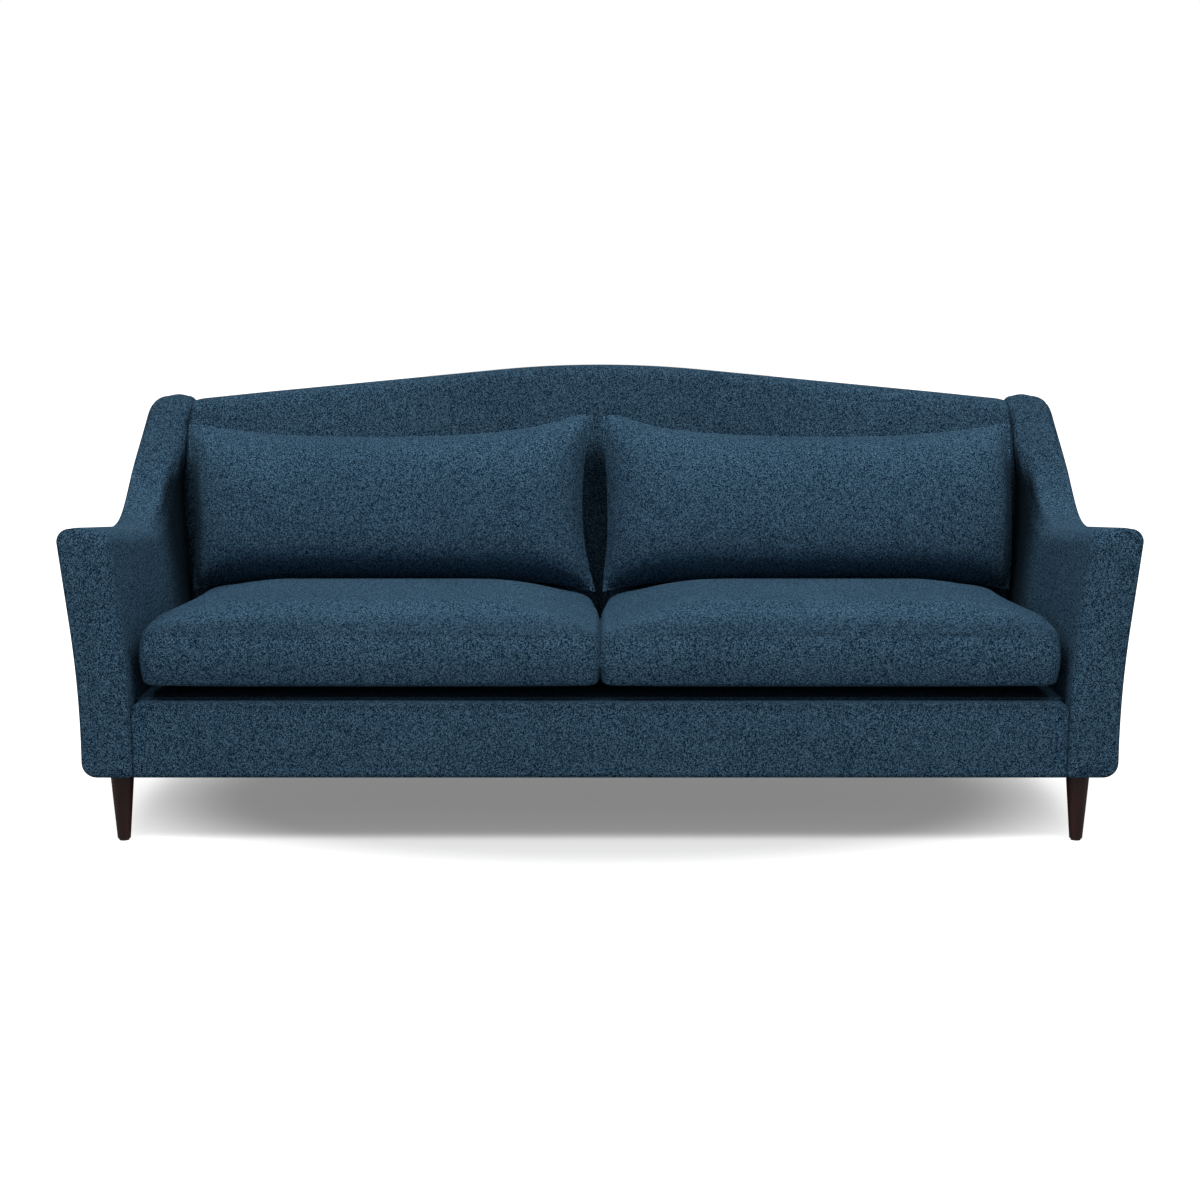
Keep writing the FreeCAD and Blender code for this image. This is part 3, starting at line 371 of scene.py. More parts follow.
def inflate(piece, settings, pinned):
    """Let the filling push the cloth out for a few frames, and keep the result up to a cap."""
    scene = bpy.context.scene
    start = read_points(piece.data)
    modifier = piece.modifiers.new("Cloth", "CLOTH")
    cloth = modifier.settings
    choices = {
        "quality": 5, "mass": 0.3, "tension_stiffness": 25, "compression_stiffness": 25, "shear_stiffness": 8,
        "bending_stiffness": 0.6, "use_pressure": True, "uniform_pressure_force": settings.pressure,
    }
    for name, value in choices.items():
        setattr(cloth, name, value)
    cloth.effector_weights.gravity = 0
    modifier.collision_settings.use_collision = False
    group = piece.vertex_groups.new(name="pinned")
    group.add([int(index) for index in pinned], 1.0, "REPLACE")
    cloth.vertex_group_mass = "pinned"
    modifier.point_cache.frame_start = 1
    modifier.point_cache.frame_end = settings.frames
    for step in range(1, settings.frames + 1):
        scene.frame_set(step)
    graph = bpy.context.evaluated_depsgraph_get()
    swollen = read_points(piece.evaluated_get(graph).data)
    piece.modifiers.remove(modifier)
    scene.frame_set(1)
    move = swollen - start
    far = np.linalg.norm(move, axis=1, keepdims=True)
    move *= np.minimum(1, settings.cap / np.maximum(far, 1e-9))
    write_points(piece.data, start + move)


def subdivide(piece):
    """Round a piece off with a subdivision surface."""
    modifier = piece.modifiers.new("Smooth", "SUBSURF")
    modifier.levels = 1
    modifier.render_levels = 1
    apply_modifiers(piece)


def point_attribute(piece, name, values):
    """Store one number for each point, for a material to read."""
    layer = piece.data.attributes.new(name, "FLOAT", "POINT")
    layer.data.foreach_set("value", np.asarray(values, np.float32))


def dress(piece, material):
    """Give a piece its one material."""
    piece.data.materials.clear()
    piece.data.materials.append(material)


def finish_piece(piece, material, body, nodes):
    """Dress a piece, hang it on the empty of the body that it rides on, and hide the frame's parts that it
    stands for.
    """
    dress(piece, material)
    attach(piece, body)
    if nodes:
        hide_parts(*nodes)


# Helpers: nodes

def set_inputs(node, inputs):
    """Join a node's inputs to sockets, or set them, each found by its name or number."""
    for key, source in inputs.items():
        if isinstance(key, int):
            entry = node.inputs[key]
        else:
            entry = next(entry for entry in node.inputs if entry.enabled and entry.name == key)
        if isinstance(source, bpy.types.NodeSocket):
            node.id_data.links.new(source, entry)
        else:
            entry.default_value = source


def add_node(tree, kind, inputs=None, **choices):
    """Add a node with its choices made and its inputs set, and return the first output in use."""
    node = tree.nodes.new(kind)
    for name, choice in choices.items():
        setattr(node, name, choice)
    set_inputs(node, inputs or {})
    return next((entry for entry in node.outputs if entry.enabled), None)


# Helpers: small pieces that repeat along a line

def repeat_tree():
    """The node tree that sets copies of a shape along lines, each turned to follow its line."""
    tree = bpy.data.node_groups.new("copies_along_lines", "GeometryNodeTree")
    for name, kind in (("Geometry", "Geometry"), ("Shape", "Object"), ("Finish", "Material"),
                       ("Spacing", "Float"), ("Unevenness", "Float"), ("Seed", "Int")):
        tree.interface.new_socket(name, in_out="INPUT", socket_type=f"NodeSocket{kind}")
    tree.interface.new_socket("Geometry", in_out="OUTPUT", socket_type="NodeSocketGeometry")
    given = tree.nodes.new("NodeGroupInput").outputs
    curve = add_node(tree, "GeometryNodeMeshToCurve", {"Mesh": given["Geometry"]})
    spots = add_node(tree, "GeometryNodeResampleCurve", {"Curve": curve, "Length": given["Spacing"]},
                     mode="LENGTH")
    up = add_node(tree, "GeometryNodeInputNamedAttribute", {"Name": "up"}, data_type="FLOAT_VECTOR")
    ahead = add_node(tree, "GeometryNodeInputTangent")
    turn = add_node(tree, "FunctionNodeAxesToRotation", {"Primary Axis": up, "Secondary Axis": ahead},
                    primary_axis="Z", secondary_axis="X")
    least = add_node(tree, "ShaderNodeVectorMath", {"Vector": given["Unevenness"], "Scale": -1.0},
                     operation="SCALE")
    chance = add_node(tree, "FunctionNodeRandomValue", {
        "Min": least, "Max": given["Unevenness"], "Seed": given["Seed"]}, data_type="FLOAT_VECTOR")
    sway = add_node(tree, "FunctionNodeEulerToRotation", {"Euler": chance})
    turned = add_node(tree, "FunctionNodeRotateRotation", {"Rotation": turn, "Rotate By": sway},
                      rotation_space="LOCAL")
    shape = add_node(tree, "GeometryNodeObjectInfo", {"Object": given["Shape"]}).node.outputs["Geometry"]
    copies = add_node(tree, "GeometryNodeInstanceOnPoints", {
        "Points": spots, "Instance": shape, "Rotation": turned})
    real = add_node(tree, "GeometryNodeRealizeInstances", {"Geometry": copies})
    coated = add_node(tree, "GeometryNodeSetMaterial", {"Geometry": real, "Material": given["Finish"]})
    tree.links.new(coated, tree.nodes.new("NodeGroupOutput").inputs["Geometry"])
    return tree


def copies_along(name, lines, up, shape, finish, spacing, unevenness):
    """One mesh of copies of a shape along lines, with the copies' tops facing one way."""
    points = [tuple(point) for line in lines for point in line]
    edges = []
    for line in lines:
        start = edges[-1][1] + 1 if edges else 0
        edges += [(start + spot, start + spot + 1) for spot in range(len(line) - 1)]
    mesh = bpy.data.meshes.new(name)
    mesh.from_pydata(points, edges, [])
    layer = mesh.attributes.new("up", "FLOAT_VECTOR", "POINT")
    layer.data.foreach_set("vector", np.tile(np.array(up, np.float32), len(points)))
    piece = linked_object(name, mesh)
    modifier = piece.modifiers.new("Copies", "NODES")
    modifier.node_group = bpy.data.node_groups.get("copies_along_lines") or repeat_tree()
    values = {"Shape": shape, "Finish": finish, "Spacing": spacing, "Unevenness": unevenness, "Seed": 7}
    for socket in modifier.node_group.interface.items_tree:
        if socket.in_out == "INPUT" and socket.name in values:
            modifier[socket.identifier] = values[socket.name]
    apply_modifiers(piece)
    shade_smooth(piece.data, False)
    return piece


def block_shape(name, long, wide, high, rounding):
    """A small block with rounded edges that stands on its underside, to be copied along a line."""
    mesh = bpy.data.meshes.new(name)
    block = bmesh.new()
    bmesh.ops.create_cube(block, size=1)
    bmesh.ops.translate(block, verts=block.verts, vec=(0, 0, 0.5))
    bmesh.ops.scale(block, verts=block.verts, vec=(long, wide, high))
    bmesh.ops.bevel(block, geom=list(block.edges), offset=rounding, segments=1, affect="EDGES")
    block.to_mesh(mesh)
    block.free()
    return linked_object(name, mesh)


# Materials

def new_material(name):
    """An empty node material with its principled shader."""
    material = bpy.data.materials.new(name)
    material.use_nodes = True
    tree = material.node_tree
    tree.nodes.clear()
    surface = add_node(tree, "ShaderNodeBsdfPrincipled")
    add_node(tree, "ShaderNodeOutputMaterial", {"Surface": surface})
    return material, tree, surface.node


def object_point(tree):
    """The place on the piece, in its own coordinates."""
    return tree.nodes.new("ShaderNodeTexCoord").outputs["Object"]


def noise(tree, point, scale, detail=2.0, stretch=None):
    """A noise value at a scale, stretched along an axis where one is given."""
    if stretch is not None:
        point = add_node(tree, "ShaderNodeMapping", {"Vector": point, "Scale": stretch})
    return add_node(tree, "ShaderNodeTexNoise", {"Vector": point, "Scale": scale, "Detail": detail})


def ramp(tree, value, stops):
    """A colour ramp over a value."""
    colour = add_node(tree, "ShaderNodeValToRGB", {"Fac": value})
    elements = colour.node.color_ramp.elements
    while len(elements) < len(stops):
        elements.new(0.5)
    for element, (place, shade) in zip(elements, stops):
        element.position = place
        element.color = (*shade, 1)
    return colour


def maths(tree, operation, *values):
    """One sum between sockets or plain numbers."""
    return add_node(tree, "ShaderNodeMath", dict(enumerate(values)), operation=operation)


def bump(tree, height, distance, strength):
    """A relief made from a height in the given distance."""
    return add_node(tree, "ShaderNodeBump", {"Height": height, "Distance": distance, "Strength": strength})


def upholstery_cloth(context):
    """Heathered woven cloth: flecks of dark and light yarn over fine crossing threads, scaled by painted
    shade and light.
    """
    made = bpy.data.materials.get("heathered_cloth")
    if made is not None:
        return made
    settings = context.scene.sofa_cloth
    material, tree, shader = new_material("heathered_cloth")
    point = object_point(tree)
    drawn = add_node(tree, "ShaderNodeMapping", {"Vector": point, "Scale": (1, 1, 0.8)})
    flecks = add_node(tree, "ShaderNodeTexVoronoi", {"Vector": drawn, "Scale": 1 / settings.fleck})
    chance = add_node(tree, "ShaderNodeSeparateColor", {"Color": flecks.node.outputs["Color"]})
    cloud = maths(tree, "SUBTRACT", noise(tree, point, 4.0, detail=3.0), 0.5)
    pitch = 2 * math.pi / settings.thread
    warp = thread_wave(tree, point, pitch, (1, 1, 0))
    weft = thread_wave(tree, point, pitch, (0, 0.5, 1))
    mixed = maths(tree, "ADD", chance, maths(tree, "MULTIPLY", cloud, 0.12))
    mixed = maths(tree, "ADD", mixed, maths(tree, "MULTIPLY", maths(tree, "MULTIPLY", warp, weft), 0.20))
    colour = ramp(tree, mixed, [
        (0.0, settings.dark), (0.45, settings.shade), (0.55, settings.middle), (1.0, settings.light)])
    # Each piece's point attribute holds painted shade and painted highlights, which scale the yarn colour
    painted_light = add_node(tree, "ShaderNodeAttribute", attribute_name="painted_light").node.outputs["Fac"]
    colour_with_painted_light = add_node(tree, "ShaderNodeVectorMath", {
        "Vector": colour, "Scale": maths(tree, "ADD", painted_light, 1.0)}, operation="SCALE")
    threads = maths(tree, "MULTIPLY", maths(tree, "ADD", warp, weft), 0.22)
    relief = maths(tree, "SUBTRACT", threads, flecks.node.outputs["Distance"])
    set_inputs(shader, {
        "Base Color": colour_with_painted_light, "Normal": bump(tree, relief, settings.fleck * 0.35, 0.7), "Roughness": 1.0,
        "Specular IOR Level": 0.02, "Sheen Weight": 0.02, "Sheen Roughness": 0.50,
        "Sheen Tint": (0.40, 0.72, 0.90, 1)})
    return material


def thread_wave(tree, point, pitch, direction):
    """The rise and fall of one set of threads, counted along a direction."""
    place = add_node(tree, "ShaderNodeVectorMath", {0: point, 1: direction}, operation="DOT_PRODUCT")
    return maths(tree, "SINE", maths(tree, "MULTIPLY", place, pitch))


def plain_material(name, dark, light, scale, roughness, relief=0.0002, metallic=0.0):
    """A material whose colour wanders between two shades, with a fine relief."""
    material, tree, shader = new_material(name)
    value = noise(tree, object_point(tree), scale, detail=4.0)
    set_inputs(shader, {
        "Base Color": ramp(tree, value, [(0.3, dark), (0.7, light)]),
        "Roughness": maths(tree, "ADD", maths(tree, "MULTIPLY", value, 0.15), roughness - 0.07),
        "Normal": bump(tree, value, relief, 0.6), "Metallic": metallic})
    return material


def wood_material(name, dark, light, roughness, ring_scale, stretch, coat=0.0):
    """Wood with long grain along one axis and fine pores."""
    material, tree, shader = new_material(name)
    point = object_point(tree)
    grain = noise(tree, point, ring_scale, detail=5.0, stretch=stretch)
    pores = noise(tree, point, ring_scale * 9, stretch=stretch)
    value = maths(tree, "ADD", maths(tree, "MULTIPLY", grain, 0.75), maths(tree, "MULTIPLY", pores, 0.25))
    set_inputs(shader, {
        "Base Color": ramp(tree, value, [(0.34, dark), (0.66, light)]),
        "Normal": bump(tree, pores, 0.0002, 0.35), "Roughness": roughness, "Specular IOR Level": 0.3,
        "Coat Weight": coat, "Coat Roughness": 0.25})
    return material


# Arms

def arm_lines(settings):
    """The arm's inner and outer faces seen from the front, and its top line seen from the side."""
    inner = settings.foot_inner
    lines = []
    for foot, flare, crown in ((inner, 0.0395, 0.0175), (inner + settings.foot_wide, 0.040, 0.028)):
        corners = [(foot, BASE_Z - 0.1), (foot, FLARE_LOW), (foot + flare, FLARE_HIGH),
                   (foot + crown, CROWN_HIGH)]
        lines.append(rounded_line(corners, (FLARE_ROUND, RETURN_ROUND)))
    corners = [(FRONT_Y, ARM_FRONT_HIGH), (FRONT_Y + DIP_BACK, DIP_HIGH), (FRONT_Y + WING_BACK, WING_HIGH),
               (-FRONT_Y - 0.006, WING_HIGH)]
    lines.append(rounded_line(corners, (SWOOP_ROUND, WING_TOP_ROUND)))
    return lines


def arm_outline(top, soft, crisp, crown, settings, inner_line, outer_line):
    """The arm's section for one height of its top: points, outward directions and the seam's column."""
    foot = settings.foot_round
    heel = 0.005

    def side(line, low, high, way):
        """One of the tall faces."""
        heights = low + (high - low) * eased_steps(32)[1:-1]
        return [(across_at(line, z), z, way, 0) for z in heights]

    def corner(line, z, radius, way, start, count):
        """A rounded corner beside a line, clockwise from an angle."""
        return quarter((across_at(line, z) - way * radius, z), radius, start, np.arange(count + 1) / count)

    rows = side(inner_line, BASE_Z + heel, top - soft, -1)
    rows += corner(inner_line, top - soft, soft, -1, 180, 10)
    start = rows[-1][0]
    end = across_at(outer_line, top - crisp) - crisp
    for mix in np.linspace(0, 1, 9)[1:-1]:
        rows.append((blend(start, end, mix), top + crown * math.sin(math.pi * mix), 0, 1))
    rows += corner(outer_line, top - crisp, crisp, 1, 90, 18)
    seam = len(rows) - 9
    rows += side(outer_line, top - crisp, BASE_Z + foot, 1)
    rows += corner(outer_line, BASE_Z + foot, foot, 1, 0, 7)
    end = across_at(inner_line, BASE_Z + heel) + heel
    rows += run((rows[-1][0], BASE_Z), (end, BASE_Z), np.linspace(0, 1, 6)[1:-1], 0, -1)
    rows += corner(inner_line, BASE_Z + heel, heel, -1, 270, 3)
    rows = np.array(rows)
    return rows[:, :2], rows[:, 2:], seam


def arm_object(name, way, settings):
    """One arm with its wing: rings round the arm from its front face to its rear face."""
    inner_line, outer_line, top_line = arm_lines(settings)
    table = []
    outward = []
    shares = np.linspace(0, 1, 240)
    deep = -FRONT_Y - BACK_REAR_IN - FRONT_Y
    for share, (top_y, top_z) in zip(shares, along(top_line, len(shares))):
        soft = blend(settings.inner_round, settings.wing_round, smooth(share, 0.45, 0.85))
        crisp = blend(settings.nose_round, settings.dip_round, smooth(share, 0.06, 0.35))
        crisp += (settings.shoulder_round - settings.dip_round) * smooth(share, 0.72, 0.95)
        crown = settings.crown * (0.7 + 0.6 * smooth(share, 0.75, 0.9))
        outline, direction, seam = arm_outline(top_z, soft, crisp, crown, settings, inner_line, outer_line)
        lift = (outline[:, 1] - BASE_Z) / (top_z - BASE_Z)
        depths = blend(FRONT_Y + share * deep, top_y, lift)
        table.append(np.column_stack([outline[:, 0], depths, outline[:, 1]]))
        outward.append(np.column_stack([direction[:, 0], np.zeros(len(direction)), direction[:, 1]]))
    table = np.array(table)
    outward = np.array(outward)
    columns = np.arange(table.shape[1])

    def ring_at(places, values):
        """The ring whose points each stand at their own place along the arm."""
        spots = np.clip(places, 0, 1) * (len(shares) - 1)
        row = np.minimum(spots.astype(int), len(shares) - 2)
        mix = (spots - row)[:, None]
        return values[row, columns] * (1 - mix) + values[row + 1, columns] * mix

    def end_radius(points, soft, crisp):
        """How far each point's edge rounds over at an end: softly inside, tightly at the seam and foot."""
        inner = across_at(inner_line, points[:, 2])
        across = (points[:, 0] - inner) / (across_at(outer_line, points[:, 2]) - inner)
        soft_here = blend(crisp, soft, smooth(points[:, 2], 0.24, 0.50))
        return blend(soft_here, crisp, smooth(across, 0.05, 0.62)), smooth(across, 0.25, 0.6)

    def end_rings(front):
        """Rings over one end, from its middle to where the body starts, and their depths along the arm."""
        soft = settings.inner_round if front else settings.seam_round * 1.6
        radius, seamed = end_radius(table[0 if front else -1], soft, settings.seam_round)
        face_way = np.array([0, -1 if front else 1, 0])
        seam_turn = 0.80
        rings = []
        for turn in (math.pi / 2, 1.40, 1.24, 1.08, 0.94, seam_turn, 0.66, 0.50, 0.34, 0.17, 0):
            depth = radius / deep * (1 - math.sin(turn))
            places = depth if front else 1 - depth
            direction = ring_at(places, outward)
            ring = ring_at(places, table) - direction * (radius * (1 - math.cos(turn)))[:, None]
            if turn == seam_turn:
                normal = direction * math.cos(turn) + face_way * math.sin(turn)
                ring -= normal * (settings.seam_sink * seamed)[:, None]
                seams.append(ring[seamed > 0.5])
            rings.append(ring)
        face = rings[0]
        spine = face.copy()
        spine[:, 2] = np.clip(face[:, 2], BASE_Z + 0.04, face[:, 2].max() - 0.045)
        spine[:, 0] = (across_at(inner_line, spine[:, 2]) + across_at(outer_line, spine[:, 2])) / 2
        spine[:, 1] = np.polyval(np.polyfit(face[:, 2], face[:, 1], 1), spine[:, 2])
        caps = []
        for share in np.linspace(1, 0, 10)[:-1]:
            ring = face * (1 - share) + spine * share
            ring += face_way * settings.puff * math.sin(math.pi / 2 * share)
            ring += face_way * waver(ring, 0.0006 * share)[:, None]
            caps.append(ring)
        return caps + rings, radius / deep

    seams = []
    front_rings, front_gap = end_rings(True)
    rear_rings, rear_gap = end_rings(False)
    body = []
    for share in np.linspace(0, 1, 150)[1:-1]:
        places = front_gap + share * (1 - front_gap - rear_gap)
        ring = ring_at(places, table)
        direction = ring_at(places, outward)
        lift = np.clip((ring[:, 2] - BASE_Z) / (ring[:, 2].max() - BASE_Z), 0, 1)
        swell = settings.puff * np.sin(math.pi * lift) ** 0.7 + waver(ring, 0.0008)
        swell *= min(1, 7 * share, 7 * (1 - share)) * np.abs(direction[:, 0])
        ring = ring + direction * swell[:, None]
        ring[seam] -= direction[seam] * settings.seam_sink
        seams.append(ring[seam:seam + 1])
        body.append(ring)
    flip = np.array([way, 1, 1])
    rings = [ring * flip for ring in front_rings + body + rear_rings[::-1]]
    return ringed_object(name, rings), np.concatenate(seams) * flip


def arm_painted_shade(points, seams, settings):
    """Painted shade on the arm's cloth: darker over the wing, along the sunken seams and in the crease beside
    the back cushion.
    """
    near = np.array([np.min(np.sum((seams - point) ** 2, axis=1)) for point in points]) ** 0.5
    inner = across_at(arm_lines(settings)[0], points[:, 2])
    facing = 1 - smooth(np.abs(points[:, 0]) - inner, 0.010, 0.030)
    crease = facing * smooth(points[:, 1], -0.03, 0.16) * (1 - smooth(points[:, 2], 0.66, 0.75))
    painted_seam_shade = -0.42 * (1 - smooth(near, 0.0006, 0.0024))
    return np.maximum(painted_seam_shade - 0.16 * smooth(points[:, 2], 0.60, 0.76) - 0.84 * crease, -0.95)


class SOFA_OT_arms(bpy.types.Operator):
    """Make both padded arms with their wings"""

    bl_idname = "sofa.arms"
    bl_label = "Arms"

    def execute(self, context):
        settings = context.scene.sofa_arm
        for side, way in SIDES:
            arm, seams = arm_object(f"{side}_arm_upholstery", way, settings)
            point_attribute(arm, "painted_light", arm_painted_shade(read_points(arm.data), seams, settings))
            finish_piece(arm, upholstery_cloth(context), "sofa_frame",
                         [f"{side}_arm_cover", f"{side}_arm_pad"])
        return {"FINISHED"}


# Back

def back_front_y(z):
    """Where the front of the back stands at a height."""
    return -FRONT_Y - BACK_FRONT_IN + BACK_FRONT_LEAN * (z - BACK_LOW) / BACK_RISE


def back_rear_y(z):
    """Where the rear of the back stands at a height."""
    return -FRONT_Y - BACK_REAR_IN + BACK_REAR_LEAN * (z - BACK_LOW) / BACK_RISE


def back_top_z(across):
    """The height of the camel line at a distance from the middle."""
    corners = [(-SHOULDER_X, SHOULDER_HIGH), (0, CREST_HIGH), (SHOULDER_X, SHOULDER_HIGH)]
    line = rounded_line(corners, (CAMEL_ROUND,), steps=40)
    return np.interp(across, line[:, 0], line[:, 1])


def back_object(name, settings, arm):
    """The back: rings round it from one wing to the other."""
    inner_line = arm_lines(arm)[0]
    low = BASE_Z
    deck = DECK_HIGH.z + 0.001
    rear_foot = 0.221
    gap = 0.001
    widest_high = 0.86
    top_round = settings.top_round

    def section(share):
        """The ring at a share of the way across, from -1 to 1: points, outward directions and puff."""
        top = back_top_z(share * (across_at(inner_line, widest_high) - gap))
        bend = top - top_round
        front, rear = back_front_y(bend) + top_round, back_rear_y(bend) - top_round
        rows = run((rear_foot, low), (rear_foot, deck), np.linspace(0, 1, 7), 0, 0, 0)
        rows += run((rear_foot, deck), (back_front_y(deck), deck), np.linspace(0, 1, 6)[1:], 0, 0, 0)
        for z in deck + (bend - deck) * eased_steps(30)[1:]:
            rows.append((back_front_y(z), z, -1, 0, math.sin(math.pi * (z - deck) / (top - deck)) ** 0.6))
        rows += quarter((front, bend), top_round, 180, np.arange(1, 9) / 9, 0.2)
        rows += run((front, top), (rear, top), np.linspace(0, 1, 6), 0, 1, 0.2)
        rows += quarter((rear, bend), top_round, 90, np.arange(1, 10) / 9, 0)
        rows += [(back_rear_y(z), z, 1, 0, 0) for z in (low + (bend - low) * eased_steps(34)[::-1])[1:]]
        rows += run((rows[-1][0], low), (rear_foot, low), np.linspace(0, 1, 7)[1:-1], 0, 0, 0)
        rows = np.array(rows)
        half = across_at(inner_line, rows[:, 1]) - gap
        points = np.stack([share * half, rows[:, 0], rows[:, 1]], axis=1)
        outward = np.stack([np.zeros(len(rows)), rows[:, 2], rows[:, 3]], axis=1)
        return points, outward, rows[:, 4]

    half_wide = 0.95
    radius = settings.end_round
    turned = radius / half_wide
    body = []
    for share in np.linspace(turned - 1, 1 - turned, 150):
        points, outward, puff = section(share)
        fade = min(1, (1 - abs(share)) * 6)
        body.append(points + outward * (puff * settings.puff * fade)[:, None])
    ends = []
    for way in (-1, 1):
        rings = []
        for turn in np.linspace(0, math.pi / 2, 6)[1:]:
            points, outward, _ = section(way * (1 - turned * (1 - math.sin(turn))))
            rings.append(points - outward * radius * (1 - math.cos(turn)))
        face = rings[-1]
        spine = face.copy()
        spine[:, 2] = np.clip(face[:, 2], low + 0.05, face[:, 2].max() - 0.05)
        spine[:, 1] = (np.maximum(back_front_y(spine[:, 2]), rear_foot) + back_rear_y(spine[:, 2])) / 2
        spine[:, 0] = way * (across_at(inner_line, spine[:, 2]) - gap)
        ends.append(rings + shrunk(face, spine, np.linspace(0, 1, 7)[1:]))
    return ringed_object(name, ends[0][::-1] + body + ends[1])


def back_painted_light(points, arm):
    """Painted shade on the back's front: darker all over, deeper behind the cushions and beside the wings,
    lifted towards the sides by painted light.
    """
    across = np.abs(points[:, 0])
    front = 1 - smooth(points[:, 1] - back_front_y(points[:, 2]), 0.02, 0.05)
    shaded = 0.50 * (1 - smooth(points[:, 2], 0.68, 0.79))
    beside = 0.55 * smooth(across - across_at(arm_lines(arm)[0], points[:, 2]), -0.014, -0.004)
    lit = 0.11 * smooth(across, 0.25, 0.60)
    return -front * (0.17 - lit + np.maximum(shaded, beside))


class SOFA_OT_back(bpy.types.Operator):
    """Make the upholstered camel back"""

    bl_idname = "sofa.back"
    bl_label = "Back"

    def execute(self, context):
        arm = context.scene.sofa_arm
        back = back_object("back_upholstery", context.scene.sofa_back, arm)
        point_attribute(back, "painted_light", back_painted_light(read_points(back.data), arm))
        finish_piece(back, upholstery_cloth(context), "sofa_frame",
                     ["back_inside_cover", "back_outside_cover", "back_pad"])
        return {"FINISHED"}


# Front rail, deck and dust cover

def lip_object(name, half):
    """The padded lip over the front rail: rings from one arm to the other."""
    front, rear = LIP_LOW.y, LIP_HIGH.y
    low, high = LIP_LOW.z, LIP_HIGH.z
    nose, end, top_thick, front_thick, end_fall = 0.008, 0.018, 0.018, 0.006, 0.03
    inner, under = front + front_thick, high - top_thick
    rows = run((front, low), (front, high - nose), np.linspace(0, 1, 18), -1, 0)
    rows += quarter((front + nose, high - nose), nose, 180, np.arange(1, 8) / 8)
    rows += run((front + nose, high), (rear, high), np.linspace(0, 1, 5), 0, 1)
    rows += run((rear, high), (rear, under), np.linspace(0, 1, 4)[1:], 0, 0)
    rows += run((rear, under), (inner, under), np.linspace(0, 1, 6)[1:], 0, 0)
    rows += run((inner, under), (inner, low), np.linspace(0, 1, 14)[1:], 0, 0)
    rows = np.array(rows)
    facing = np.clip(-rows[:, 2], 0, 1)
    bulge = 0.003 * facing * np.sin(math.pi * np.clip((rows[:, 1] - low) / (high - low), 0, 1))

    def ring(x):
        """The section at a place across, with its front swollen."""
        deep = rows[:, 0] - bulge * min(1, (half - abs(x)) * 12)
        return np.column_stack([np.full(len(rows), x), deep, rows[:, 1]])

    ends = []
    for way in (-1, 1):
        rings = []
        for turn in np.linspace(0, math.pi / 2, 7)[1:]:
            shape = ring(way * (half - end * (1 - math.sin(turn))))
            drop = end * (1 - math.cos(turn))
            shape[:, 2] -= drop * np.clip((rows[:, 1] - (high - end_fall)) / end_fall, 0, 1)
            shape[:, 1] += 0.12 * drop * facing
            rings.append(shape)
        face = rings[-1]
        spine = face.copy()
        spine[:, 1] = np.clip(face[:, 1], front + 0.003, front + 0.004)
        spine[:, 2] = np.clip(face[:, 2], low + 0.01, high - end_fall)
        ends.append(rings + shrunk(face, spine, (0.5, 1.0)))
    body = [ring(x) for x in np.linspace(-(half - end), half - end, 120)]
    return ringed_object(name, ends[0][::-1] + body + ends[1])


def flat_sheet(name, low, high, thick, columns, rows, sag):
    """A closed thin sheet with a little sag between its edges."""
    points = []
    for level_z in (high.z - thick, high.z):
        for v in np.arange(rows + 1) / rows:
            for u in np.arange(columns + 1) / columns:
                drop = sag * math.sin(math.pi * u) ** 0.5 * math.sin(math.pi * v) ** 0.5
                points.append((blend(low.x, high.x, u), blend(low.y, high.y, v), level_z - drop))
    numbers = np.arange(len(points)).reshape(2, rows + 1, columns + 1)
    faces = quads(numbers[0]) + quads(numbers[1])
    for spot in (0, -1):
        faces += quads(numbers[:, spot, :]) + quads(numbers[:, :, spot])
    return mesh_object(name, points, faces)


class SOFA_OT_front_rail(bpy.types.Operator):
    """Make the upholstered lip over the front rail"""

    bl_idname = "sofa.front_rail"
    bl_label = "Front rail"

    def execute(self, context):
        lip = lip_object("front_rail_upholstery", context.scene.sofa_arm.foot_inner - 0.0004)
        heights = read_points(lip.data)[:, 2]
        # Painted shade along the lip's top edge, under the seat cushions' overhang
        point_attribute(lip, "painted_light", -0.32 * smooth(heights, LIP_HIGH.z - 0.020, LIP_HIGH.z - 0.004))
        finish_piece(lip, upholstery_cloth(context), "sofa_frame",
                     ["front_rail_cover", "front_rail_pad"])
        return {"FINISHED"}


class SOFA_OT_sheets(bpy.types.Operator):
    """Make the deck cloth with its pad, and the dust cover under the frame"""

    bl_idname = "sofa.sheets"
    bl_label = "Deck and dust cover"

    def execute(self, context):
        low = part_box("seat_deck_pad")[0]
        deck = flat_sheet("seat_deck", low, DECK_HIGH, DECK_HIGH.z - low.z, 60, 24, 0.0)
        finish_piece(deck, upholstery_cloth(context), "sofa_frame",
                     ["seat_deck_cloth", "seat_deck_pad"])
        low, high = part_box("dust_cover")
        cambric = plain_material("black_cambric", (0.012, 0.012, 0.013), (0.022, 0.022, 0.024), 900, 0.9)
        dust = flat_sheet("dust_cover_sheet", low, high, high.z - low.z, 90, 40, 0.004)
        finish_piece(dust, cambric, "sofa_frame", ["dust_cover"])
        return {"FINISHED"}


# Seat cushions

# The heights of the seams, the border between them, and the rounding and bow of the plan
TOP_SEAM_HIGH, TOP_SEAM_CLIMB, FOOT_SEAM_HIGH = 0.419, 0.019, 0.3188
BORDER_HIGH = 0.118
SEAT_FRONT_CORNER, SEAT_REAR_CORNER, SEAT_BOW = 0.034, 0.105, 0.004


def seam_height(x, y):
    """The height of a seat cushion's top seam, which dips towards the front and the sofa's middle."""
    back = np.clip((y - SEAT_LOW.y) / 0.16, 0, 1) ** 0.7
    return TOP_SEAM_HIGH + TOP_SEAM_CLIMB * back * smooth(x, 0.0, 0.30)


